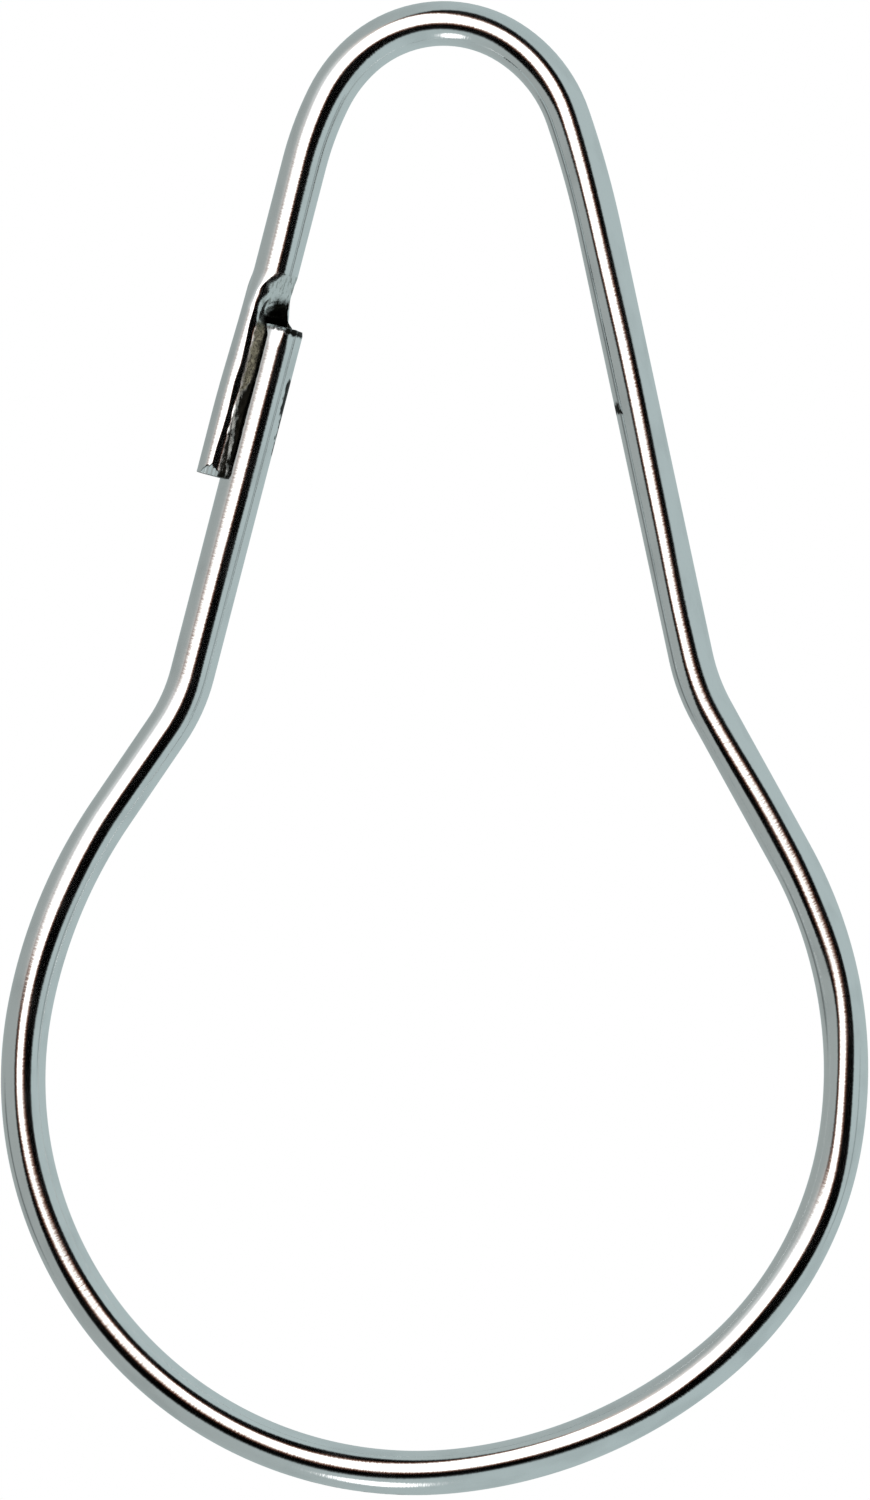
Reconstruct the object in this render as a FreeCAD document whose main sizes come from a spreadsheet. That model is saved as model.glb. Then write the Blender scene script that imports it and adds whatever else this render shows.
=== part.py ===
"""Curtain hook: a pear-shaped sprung ring bent from one length of round plated wire.

The ring stands upright in the XZ plane, crown up, and is seen from -Y. The origin is the inside top
of the crown, where the ring hangs. Millimetres and degrees throughout.
"""

import FreeCAD, Part
import math
import os
from enum import IntEnum

import Sketcher

Vector = FreeCAD.Vector
Constraint = Sketcher.Constraint


class SketchPoint(IntEnum):
    """Points of a line or an arc that a constraint can hold."""

    START = 1
    END = 2
    CENTRE = 3


START, END, CENTRE = SketchPoint
ORIGIN = (-1, START)

SIZES = [
    ("wire_diameter", 2.0, "round wire that the whole ring is bent from"),
    ("crown_top_radius", 5.5, "centreline radius over the top of the crown"),
    ("crown_right_radius", 6.4, "centreline radius of the crown's right side"),
    ("crown_right_bend", 38.5, "angle turned by that side"),
    ("crown_right_flare_radius", 44.2, "slow curve from there into the right arm"),
    ("crown_right_flare_bend", 6.9, "angle turned by the slow curve on the right"),
    ("crown_left_radius", 6.5, "centreline radius of the crown's left side"),
    ("crown_left_bend", 21.5, "angle turned by that side"),
    ("crown_left_flare_radius", 15.0, "slow curve from there into the left arm"),
    ("crown_left_flare_bend", 12.0, "angle turned by the slow curve on the left"),
    ("right_arm_lean", 12.1, "right arm from the vertical"),
    ("left_arm_lean", 14.5, "left arm from the vertical"),
    ("right_shoulder_drop", 27.4, "from the origin down to where the right arm starts to bend"),
    ("left_shoulder_drop", 28.2, "from the origin down to where the left arm starts to bend"),
    ("right_shoulder_radius", 9.0, "centreline radius of the right shoulder bend"),
    ("left_shoulder_radius", 8.0, "centreline radius of the left shoulder bend"),
    ("left_flank_length", 4.5, "straight from the left shoulder bend to the bulb"),
    ("right_flank_length", 7.4, "straight from the right shoulder bend to the bulb"),
    ("bulb_left_radius", 23.2, "flatter curve at the bulb's upper left"),
    ("bulb_main_radius", 17.6, "main curve, from the left side to past the bottom"),
    ("bulb_low_radius", 21.6, "flatter curve at the lower right"),
    ("bulb_side_radius", 16.4, "tighter curve up the right side"),
    ("bulb_right_radius", 19.8, "curve at the bulb's upper right"),
    ("bulb_main_start", 11.0, "main curve starts this far above level on the left"),
    ("bulb_main_bend", 107.5, "angle turned by the main curve"),
    ("bulb_low_bend", 33.0, "angle turned by the lower right curve"),
    ("bulb_side_bend", 41.5, "angle turned by the right side curve"),
    ("nest_offset", 0.87, "lower arm lies this far inside the upper arm's line"),
    ("catch_start_drop", 10.15, "from the origin down to where the pressed catch starts"),
    ("catch_length", 9.55, "pressed catch, along the arm"),
    ("swage_length", 2.0, "round wire changes to the catch's section over this length"),
    ("groove_clearance", 0.1, "between the catch's groove and the wire that lies in it"),
    ("wall_thickness", 0.4, "catch wall behind the lower wire"),
    ("lip_swell_top", 0.08, "catch stands out past the wire's left side, at its top"),
    ("lip_swell_end", 0.21, "the same at its lower end"),
    ("lip_rise", 0.05, "catch stands out past the wire's front"),
    ("rim_swell", 0.15, "catch stands out past the wire's right side"),
    ("lip_corner_radius", 0.6, "rounded front of the lip"),
    ("back_corner_radius", 0.9, "rounded back left of the catch"),
    ("rim_corner_radius", 0.3, "rounded edge of the back wall"),
    ("lip_wrap", 51.0, "lip reaches this far round the front of the lower wire"),
    ("lip_slope", 24.0, "slope of the pressed land on top of the lip"),
    ("run_out_radius", 1.5, "curve on which the groove's centre rises out at the top"),
    ("run_out_lead", 0.25, "that curve starts this far below the lower wire's cut end"),
    ("scoop_margin", 0.1, "catch start to the top of the scoop"),
    ("end_bevel_height", 0.4, "sheared front corner of the catch's lower end, along the arm"),
    ("end_bevel_depth", 0.22, "the same corner, front to back"),
    ("cut_end_chamfer", 0.12, "broken edge of the lower wire's cut end"),
]


def make_sheet(document):
    """Put every driving size into the sheet, one row each: name, number, meaning."""
    sheet = document.addObject("Spreadsheet::Sheet", "Sizes")
    for row, (alias, number, meaning) in enumerate(SIZES, start=1):
        sheet.set(f"A{row}", alias)
        sheet.set(f"B{row}", str(number))
        sheet.setAlias(f"B{row}", alias)
        sheet.set(f"C{row}", meaning)
    document.recompute()
    return sheet


def unit(degrees):
    """Unit vector in a sketch's plane at this angle from its x axis."""
    angle = math.radians(degrees)
    return Vector(math.cos(angle), math.sin(angle), 0)


def heading(vector):
    """Angle of a vector in a sketch's plane, in degrees."""
    return math.degrees(math.atan2(vector.y, vector.x))


def arc(centre, radius, start, end):
    """Arc run anticlockwise from one angle to the other, in degrees."""
    circle = Part.Circle(centre, Vector(0, 0, 1), radius)
    return Part.ArcOfCircle(circle, math.radians(start), math.radians(end))


def lower_meeting(left, left_reach, right, right_reach):
    """Lower of the two places that lie these distances from a left and a right point."""
    across = right - left
    along = (across.Length + (left_reach**2 - right_reach**2) / across.Length) / 2
    below = math.sqrt(left_reach**2 - along**2)
    toward = unit(heading(across))
    return left + toward * along + Vector(toward.y, -toward.x, 0) * below


class Ring:
    """Places of the ring's centreline, worked out from the sizes."""

    def __init__(self, size):
        self.size = size
        wire_radius = size("wire_diameter") / 2
        right = size("right_arm_lean")
        left = 180 - size("left_arm_lean")

        self.right_join = right + size("crown_right_flare_bend")
        self.top_start = self.right_join + size("crown_right_bend")
        self.left_join = left - size("crown_left_flare_bend")
        self.top_end = self.left_join - size("crown_left_bend")
        top = size("crown_top_radius")
        self.top_centre = Vector(0, wire_radius - top, 0)
        self.right_centre = self.top_centre + unit(self.top_start) * (top - size("crown_right_radius"))
        self.right_flare_centre = self.right_centre + unit(self.right_join) * (
            size("crown_right_radius") - size("crown_right_flare_radius")
        )
        self.left_centre = self.top_centre + unit(self.top_end) * (top - size("crown_left_radius"))
        self.left_flare_centre = self.left_centre + unit(self.left_join) * (
            size("crown_left_radius") - size("crown_left_flare_radius")
        )

        self.right_out = unit(right)
        self.left_out = unit(left)
        self.down_right_arm = Vector(self.right_out.y, -self.right_out.x, 0)
        self.down_left_arm = Vector(-self.left_out.y, self.left_out.x, 0)
        self.right_arm_top = self.right_flare_centre + self.right_out * size("crown_right_flare_radius")
        self.left_arm_top = self.left_flare_centre + self.left_out * size("crown_left_flare_radius")
        self.right_arm_end = self.drop(
            self.right_arm_top, self.down_right_arm, size("right_shoulder_drop")
        )
        self.catch_start = self.drop(self.left_arm_top, self.down_left_arm, size("catch_start_drop"))
        lower_line = self.catch_start - self.left_out * size("nest_offset")
        self.left_arm_end = self.drop(lower_line, self.down_left_arm, size("left_shoulder_drop"))
        self.cut_end = lower_line + self.down_left_arm * self.cut_end_step()

        self.main_start = 180 - size("bulb_main_start")
        self.main_end = self.main_start + size("bulb_main_bend")
        self.low_end = self.main_end + size("bulb_low_bend")
        self.side_end = self.low_end + size("bulb_side_bend")
        main = size("bulb_main_radius")
        low = size("bulb_low_radius")
        side = size("bulb_side_radius")
        main_to_left = unit(self.main_start) * (main - size("bulb_left_radius"))
        main_to_low = unit(self.main_end) * (main - low)
        main_to_side = main_to_low + unit(self.low_end) * (low - side)
        main_to_right = main_to_side + unit(self.side_end) * (side - size("bulb_right_radius"))

        self.left_shoulder = self.left_arm_end + self.left_out * size("left_shoulder_radius")
        self.right_shoulder = self.right_arm_end + self.right_out * size("right_shoulder_radius")
        left_flank = size("left_flank_length")
        right_flank = size("right_flank_length")
        left_radii = size("left_shoulder_radius") + size("bulb_left_radius")
        right_radii = size("right_shoulder_radius") + size("bulb_right_radius")
        self.bulb_main_centre = lower_meeting(
            self.left_shoulder - main_to_left, math.hypot(left_flank, left_radii),
            self.right_shoulder - main_to_right, math.hypot(right_flank, right_radii),
        )
        self.bulb_left_centre = self.bulb_main_centre + main_to_left
        self.bulb_low_centre = self.bulb_main_centre + main_to_low
        self.bulb_side_centre = self.bulb_main_centre + main_to_side
        self.bulb_right_centre = self.bulb_main_centre + main_to_right
        self.left_touch = heading(self.left_shoulder - self.bulb_left_centre) + math.degrees(
            math.atan2(left_flank, left_radii)
        )
        self.right_touch = heading(self.right_shoulder - self.bulb_right_centre) - math.degrees(
            math.atan2(right_flank, right_radii)
        )

    def drop(self, point, direction, depth):
        """Point of an arm's line at this depth below the origin."""
        return point + direction * ((depth + point.y) / -direction.y)

    def cut_end_step(self):
        """Catch start to the lower wire's cut end, along the arm, which leaves room for the run-out."""
        size = self.size
        wire_radius = size("wire_diameter") / 2
        floor = size("run_out_radius") + wire_radius + size("groove_clearance")
        surface = size("run_out_radius") - wire_radius
        run_out = math.sqrt(floor * floor - surface * surface)
        return size("scoop_margin") + run_out - size("run_out_lead")

    def segments(self):
        """Lines and arcs in order along the wire, from the cut end round to the catch."""
        size = self.size
        left_touch_out = unit(self.left_touch)
        right_touch_out = unit(self.right_touch)
        left_flank_top = self.left_shoulder - left_touch_out * size("left_shoulder_radius")
        left_flank_end = self.bulb_left_centre + left_touch_out * size("bulb_left_radius")
        right_flank_end = self.bulb_right_centre + right_touch_out * size("bulb_right_radius")
        right_flank_top = self.right_shoulder - right_touch_out * size("right_shoulder_radius")
        left = 180 - size("left_arm_lean")
        right = size("right_arm_lean")
        full_turn = 360
        return {
            "lower_arm": Part.LineSegment(self.left_arm_end, self.cut_end),
            "left_shoulder": arc(
                self.left_shoulder, size("left_shoulder_radius"), self.left_touch - 180, left - 180
            ),
            "left_flank": Part.LineSegment(left_flank_top, left_flank_end),
            "bulb_left": arc(
                self.bulb_left_centre, size("bulb_left_radius"), self.left_touch, self.main_start
            ),
            "bulb_main": arc(
                self.bulb_main_centre, size("bulb_main_radius"), self.main_start, self.main_end
            ),
            "bulb_low": arc(self.bulb_low_centre, size("bulb_low_radius"), self.main_end, self.low_end),
            "bulb_side": arc(self.bulb_side_centre, size("bulb_side_radius"), self.low_end, self.side_end),
            "bulb_right": arc(
                self.bulb_right_centre, size("bulb_right_radius"),
                self.side_end, self.right_touch + full_turn,
            ),
            "right_flank": Part.LineSegment(right_flank_end, right_flank_top),
            "right_shoulder": arc(
                self.right_shoulder, size("right_shoulder_radius"), right + 180, self.right_touch + 180
            ),
            "right_arm": Part.LineSegment(self.right_arm_end, self.right_arm_top),
            "crown_right_flare": arc(
                self.right_flare_centre, size("crown_right_flare_radius"), right, self.right_join
            ),
            "crown_right": arc(
                self.right_centre, size("crown_right_radius"), self.right_join, self.top_start
            ),
            "crown_top": arc(self.top_centre, size("crown_top_radius"), self.top_start, self.top_end),
            "crown_left": arc(self.left_centre, size("crown_left_radius"), self.top_end, self.left_join),
            "crown_left_flare": arc(
                self.left_flare_centre, size("crown_left_flare_radius"), self.left_join, left
            ),
            "upper_arm": Part.LineSegment(self.catch_start, self.left_arm_top),
        }


JOINS = [
    ("lower_arm", START, "left_shoulder", END),
    ("left_shoulder", START, "left_flank", START),
    ("left_flank", END, "bulb_left", START),
    ("bulb_left", END, "bulb_main", START),
    ("bulb_main", END, "bulb_low", START),
    ("bulb_low", END, "bulb_side", START),
    ("bulb_side", END, "bulb_right", START),
    ("bulb_right", END, "right_flank", START),
    ("right_flank", END, "right_shoulder", END),
    ("right_shoulder", START, "right_arm", START),
    ("right_arm", END, "crown_right_flare", START),
    ("crown_right_flare", END, "crown_right", START),
    ("crown_right", END, "crown_top", START),
    ("crown_top", END, "crown_left", START),
    ("crown_left", END, "crown_left_flare", START),
    ("crown_left_flare", END, "upper_arm", END),
]

RADII = [
    "left_shoulder", "bulb_left", "bulb_main", "bulb_low", "bulb_side", "bulb_right", "right_shoulder",
    "crown_right_flare", "crown_right", "crown_top", "crown_left", "crown_left_flare",
]

BENDS = ["bulb_main", "bulb_low", "bulb_side", "crown_right_flare", "crown_right", "crown_left", "crown_left_flare"]


def origin_plane(body, role):
    """One of the body's own origin planes, by its role."""
    return next(feature for feature in body.Origin.OriginFeatures if feature.Role == role)


def new_sketch(body, name, role):
    """Sketch on one of the body's origin planes."""
    sketch = body.newObject("Sketcher::SketchObject", name)
    sketch.AttachmentSupport = [(origin_plane(body, role), "")]
    sketch.MapMode = "FlatFace"
    return sketch


def drive(sketch, name, expression, *constraint):
    """Add a constraint under a name and bind its value to an expression on the sheet."""
    index = sketch.addConstraint(Constraint(*constraint))
    sketch.renameConstraint(index, name)
    sketch.setExpression(f"Constraints.{name}", expression)


def measure(sketch, name, *constraint):
    """Add a measuring dimension, which other features read."""
    index = sketch.addConstraint(Constraint(*constraint))
    sketch.renameConstraint(index, name)
    sketch.setDriving(index, False)


def draw_centreline(body, ring, size):
    """Centreline of the wire in the XZ plane: straights and tangent arcs, fully constrained."""
    sketch = new_sketch(body, "centreline", "XZ_Plane")
    segments = ring.segments()
    place = {name: index for index, name in enumerate(segments)}
    sketch.addGeometry(list(segments.values()), False)
    for first, first_point, second, second_point in JOINS:
        sketch.addConstraint(
            Constraint("Tangent", place[first], first_point, place[second], second_point)
        )
    for name in RADII:
        alias = f"{name}_radius"
        drive(sketch, alias, f"Sizes.{alias}", "Radius", place[name], size(alias))
    for name in BENDS:
        alias = f"{name}_bend"
        drive(sketch, alias, f"Sizes.{alias} * 1deg", "Angle", place[name], math.radians(size(alias)))

    top, main = place["crown_top"], place["bulb_main"]
    sketch.addConstraint(Constraint("PointOnObject", top, CENTRE, -2))
    drive(
        sketch, "crown_centre_drop", "Sizes.crown_top_radius - Sizes.wire_diameter / 2",
        "DistanceY", top, CENTRE, *ORIGIN, size("crown_top_radius") - size("wire_diameter") / 2,
    )
    drive(
        sketch, "right_arm_lean", "(90 + Sizes.right_arm_lean) * 1deg",
        "Angle", place["right_arm"], math.radians(90 + size("right_arm_lean")),
    )
    drive(
        sketch, "left_arm_lean", "(90 - Sizes.left_arm_lean) * 1deg",
        "Angle", place["upper_arm"], math.radians(90 - size("left_arm_lean")),
    )
    sketch.addConstraint(Constraint("Parallel", place["upper_arm"], place["lower_arm"]))
    drive(
        sketch, "nest_offset", "Sizes.nest_offset",
        "Distance", place["lower_arm"], END, place["upper_arm"], size("nest_offset"),
    )
    drive(
        sketch, "right_shoulder_drop", "Sizes.right_shoulder_drop",
        "DistanceY", place["right_arm"], START, *ORIGIN, size("right_shoulder_drop"),
    )
    drive(
        sketch, "left_shoulder_drop", "Sizes.left_shoulder_drop",
        "DistanceY", place["lower_arm"], START, *ORIGIN, size("left_shoulder_drop"),
    )
    drive(
        sketch, "catch_start_drop", "Sizes.catch_start_drop",
        "DistanceY", place["upper_arm"], START, *ORIGIN, size("catch_start_drop"),
    )
    lean = math.radians(size("left_arm_lean"))
    drive(
        sketch, "cut_end_drop",
        f"({CUT_END_STEP}) * cos(Sizes.left_arm_lean * 1deg)"
        " + Sizes.nest_offset * sin(Sizes.left_arm_lean * 1deg)",
        "DistanceY", place["lower_arm"], END, place["upper_arm"], START,
        ring.cut_end_step() * math.cos(lean) + size("nest_offset") * math.sin(lean),
    )
    for name in ("left_flank", "right_flank"):
        alias = f"{name}_length"
        drive(sketch, alias, f"Sizes.{alias}", "Distance", place[name], size(alias))
    start_mark = sketch.addGeometry(
        Part.LineSegment(segments["bulb_main"].StartPoint, ring.bulb_main_centre), True
    )
    sketch.addConstraint(Constraint("Coincident", start_mark, START, main, START))
    sketch.addConstraint(Constraint("Coincident", start_mark, END, main, CENTRE))
    drive(
        sketch, "bulb_main_start", "-Sizes.bulb_main_start * 1deg",
        "Angle", start_mark, -math.radians(size("bulb_main_start")),
    )
    measure(sketch, "catch_x", "DistanceX", *ORIGIN, place["upper_arm"], START, ring.catch_start.x)
    measure(sketch, "catch_z", "DistanceY", *ORIGIN, place["upper_arm"], START, ring.catch_start.y)
    measure(sketch, "cut_x", "DistanceX", *ORIGIN, place["lower_arm"], END, ring.cut_end.x)
    measure(sketch, "cut_z", "DistanceY", *ORIGIN, place["lower_arm"], END, ring.cut_end.y)
    return sketch


GROOVE_RADIUS = "(Sizes.wire_diameter / 2 + Sizes.groove_clearance)"
CUT_END_STEP = (
    "Sizes.scoop_margin - Sizes.run_out_lead"
    f" + sqrt((Sizes.run_out_radius + {GROOVE_RADIUS})^2"
    " - (Sizes.run_out_radius - Sizes.wire_diameter / 2)^2)"
)
REACH = f"(Sizes.catch_length - ({CUT_END_STEP}) + Sizes.wire_diameter / 2)"


def across_arm(body, name, point, step):
    """Sketch square to the left arm, this far down from a measured point of the centreline.

    Its x axis points into the ring, its y axis away from the viewer and its normal up the arm.
    """
    sketch = new_sketch(body, name, "XY_Plane")
    sketch.AttachmentOffset = FreeCAD.Placement(Vector(), FreeCAD.Rotation(Vector(0, 1, 0), 1))
    sketch.setExpression("AttachmentOffset.Rotation.Angle", "Sizes.left_arm_lean * 1deg")
    sketch.setExpression(
        "AttachmentOffset.Base.x",
        f"centreline.Constraints.{point}_x - ({step}) * 1mm * sin(Sizes.left_arm_lean * 1deg)",
    )
    sketch.setExpression(
        "AttachmentOffset.Base.z",
        f"centreline.Constraints.{point}_z - ({step}) * 1mm * cos(Sizes.left_arm_lean * 1deg)",
    )
    return sketch


def along_arm(body, name, point):
    """Sketch that holds the left arm's direction and the Y axis, at a measured point.

    Its x axis points away from the viewer and its y axis up the arm.
    """
    sketch = new_sketch(body, name, "YZ_Plane")
    sketch.AttachmentOffset = FreeCAD.Placement(Vector(), FreeCAD.Rotation(Vector(1, 0, 0), 1))
    sketch.setExpression("AttachmentOffset.Rotation.Angle", "Sizes.left_arm_lean * 1deg")
    sketch.setExpression("AttachmentOffset.Base.y", f"centreline.Constraints.{point}_z")
    sketch.setExpression("AttachmentOffset.Base.z", f"centreline.Constraints.{point}_x")
    return sketch


def draw_wire_section(sketch, size):
    """Round section of the wire on the sketch's origin."""
    circle = sketch.addGeometry(Part.Circle(Vector(), Vector(0, 0, 1), size("wire_diameter") / 2))
    sketch.addConstraint(Constraint("Coincident", circle, CENTRE, *ORIGIN))
    drive(
        sketch, "wire_diameter", "Sizes.wire_diameter", "Diameter", circle, size("wire_diameter")
    )


def draw_catch_blank(sketch, size, swell):
    """Outer section of the catch before its groove: a rectangle with four rounded corners."""
    wire_radius = size("wire_diameter") / 2
    left = -wire_radius - size(swell)
    right = wire_radius + size("rim_swell")
    front = -wire_radius - size("lip_rise")
    back = wire_radius + size("groove_clearance") + size("wall_thickness")
    lip = size("lip_corner_radius")
    heel = size("back_corner_radius")
    rim = size("rim_corner_radius")
    outline = [
        Part.LineSegment(Vector(right, front + lip, 0), Vector(right, back - rim, 0)),
        arc(Vector(right - rim, back - rim, 0), rim, 0, 90),
        Part.LineSegment(Vector(right - rim, back, 0), Vector(left + heel, back, 0)),
        arc(Vector(left + heel, back - heel, 0), heel, 90, 180),
        Part.LineSegment(Vector(left, back - heel, 0), Vector(left, front + lip, 0)),
        arc(Vector(left + lip, front + lip, 0), lip, 180, 270),
        Part.LineSegment(Vector(left + lip, front, 0), Vector(right - lip, front, 0)),
        arc(Vector(right - lip, front + lip, 0), lip, 270, 360),
    ]
    right_side, rim_corner, back_side, heel_corner, left_side, lip_corner, front_side, spare_corner = range(8)
    sketch.addGeometry(outline, False)
    for index in range(len(outline)):
        sketch.addConstraint(Constraint("Tangent", index, END, (index + 1) % len(outline), START))
    sketch.addConstraint(Constraint("Vertical", right_side))
    sketch.addConstraint(Constraint("Horizontal", back_side))
    sketch.addConstraint(Constraint("Vertical", left_side))
    sketch.addConstraint(Constraint("Horizontal", front_side))
    drive(sketch, "rim_corner", "Sizes.rim_corner_radius", "Radius", rim_corner, rim)
    drive(sketch, "heel_corner", "Sizes.back_corner_radius", "Radius", heel_corner, heel)
    drive(sketch, "lip_corner", "Sizes.lip_corner_radius", "Radius", lip_corner, lip)
    drive(sketch, "spare_corner", "Sizes.lip_corner_radius", "Radius", spare_corner, lip)
    drive(
        sketch, "right_side", "Sizes.wire_diameter / 2 + Sizes.rim_swell",
        "DistanceX", *ORIGIN, right_side, START, right,
    )
    drive(
        sketch, "left_side", f"Sizes.wire_diameter / 2 + Sizes.{swell}",
        "DistanceX", left_side, START, *ORIGIN, -left,
    )
    drive(
        sketch, "front_side", "Sizes.wire_diameter / 2 + Sizes.lip_rise",
        "DistanceY", front_side, START, *ORIGIN, -front,
    )
    drive(
        sketch, "back_side", f"{GROOVE_RADIUS} + Sizes.wall_thickness",
        "DistanceY", *ORIGIN, back_side, START, back,
    )


def draw_groove(sketch, size):
    """Section of the groove: the lower wire with its clearance, open to the front and the right.

    The lip's pressed land slopes away from the arc's end, and the outline closes clear of the catch.
    """
    radius = size("wire_diameter") / 2 + size("groove_clearance")
    wrap = 180 + size("lip_wrap")
    lip_edge = unit(wrap) * radius
    depth = radius + size("groove_clearance")
    land = (depth + lip_edge.y) / math.tan(math.radians(size("lip_slope")))
    land_top = Vector(lip_edge.x - land, -depth, 0)
    right_top = Vector(radius, -depth, 0)
    sketch.addGeometry(
        [
            arc(Vector(), radius, 0, wrap),
            Part.LineSegment(lip_edge, land_top),
            Part.LineSegment(land_top, right_top),
            Part.LineSegment(right_top, Vector(radius, 0, 0)),
        ],
        False,
    )
    imprint, land_side, open_side, right_side = range(4)
    sketch.addConstraint(Constraint("Coincident", imprint, CENTRE, *ORIGIN))
    sketch.addConstraint(Constraint("Coincident", imprint, END, land_side, START))
    sketch.addConstraint(Constraint("Coincident", land_side, END, open_side, START))
    sketch.addConstraint(Constraint("Coincident", open_side, END, right_side, START))
    sketch.addConstraint(Constraint("Tangent", right_side, END, imprint, START))
    sketch.addConstraint(Constraint("Horizontal", open_side))
    sketch.addConstraint(Constraint("Vertical", right_side))
    drive(sketch, "groove_radius", GROOVE_RADIUS, "Radius", imprint, radius)
    drive(
        sketch, "lip_wrap", "(180 + Sizes.lip_wrap) * 1deg", "Angle", imprint, math.radians(wrap)
    )
    drive(
        sketch, "lip_slope", "(180 + Sizes.lip_slope) * 1deg",
        "Angle", land_side, math.radians(180 + size("lip_slope")),
    )
    drive(
        sketch, "open_depth", f"{GROOVE_RADIUS} + Sizes.groove_clearance",
        "DistanceY", open_side, START, *ORIGIN, depth,
    )


def draw_groove_path(sketch, size, reach_length):
    """Path of the groove: up along the lower wire, then out to the front past its cut end."""
    lead = size("run_out_lead")
    radius = size("run_out_radius")
    sketch.addGeometry(
        [
            Part.LineSegment(Vector(0, -reach_length, 0), Vector(0, -lead, 0)),
            arc(Vector(-radius, -lead, 0), radius, 0, 90),
        ],
        False,
    )
    straight, run_out = range(2)
    sketch.addConstraint(Constraint("PointOnObject", straight, START, -2))
    sketch.addConstraint(Constraint("Vertical", straight))
    sketch.addConstraint(Constraint("Tangent", straight, END, run_out, START))
    drive(sketch, "run_out_radius", "Sizes.run_out_radius", "Radius", run_out, radius)
    drive(sketch, "run_out_lead", "Sizes.run_out_lead", "DistanceY", straight, END, *ORIGIN, lead)
    drive(sketch, "reach", REACH, "DistanceY", straight, START, *ORIGIN, reach_length)
    sketch.addConstraint(Constraint("Angle", run_out, math.radians(90)))


def draw_end_bevel(sketch, size):
    """Corner that the shear takes off the front of the catch's lower end, with room outside it."""
    height = size("end_bevel_height")
    depth = size("end_bevel_depth")
    corner = Vector(-size("wire_diameter") / 2 - size("lip_rise") - depth, -size("catch_length") - height, 0)
    top = corner + Vector(0, 3 * height, 0)
    back = corner + Vector(3 * depth, 0, 0)
    sketch.addGeometry(
        [Part.LineSegment(corner, back), Part.LineSegment(back, top), Part.LineSegment(top, corner)], False
    )
    below, bevel, front = range(3)
    sketch.addConstraint(Constraint("Coincident", below, END, bevel, START))
    sketch.addConstraint(Constraint("Coincident", bevel, END, front, START))
    sketch.addConstraint(Constraint("Coincident", front, END, below, START))
    sketch.addConstraint(Constraint("Horizontal", below))
    sketch.addConstraint(Constraint("Vertical", front))
    drive(
        sketch, "bevel_height", "3 * Sizes.end_bevel_height",
        "DistanceY", front, END, front, START, 3 * height,
    )
    drive(
        sketch, "bevel_depth", "3 * Sizes.end_bevel_depth",
        "DistanceX", below, START, below, END, 3 * depth,
    )
    drive(
        sketch, "front_side", "Sizes.wire_diameter / 2 + Sizes.lip_rise + Sizes.end_bevel_depth",
        "DistanceX", below, START, *ORIGIN, -corner.x,
    )
    drive(
        sketch, "lower_end", "Sizes.catch_length + Sizes.end_bevel_height",
        "DistanceY", below, START, *ORIGIN, -corner.y,
    )


def round_edges_at(shape, point):
    """Names of the circular edges centred on a point of the centreline."""
    centre = Vector(point.x, 0, point.y)
    return [
        f"Edge{index}"
        for index, edge in enumerate(shape.Edges, start=1)
        if isinstance(edge.Curve, Part.Circle) and edge.Curve.Center.distanceToPoint(centre) < 1e-4
    ]


def volume_after(document, feature):
    """Recompute and give the volume of the solid that ends with this feature."""
    document.recompute()
    return feature.Shape.Volume


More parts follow.
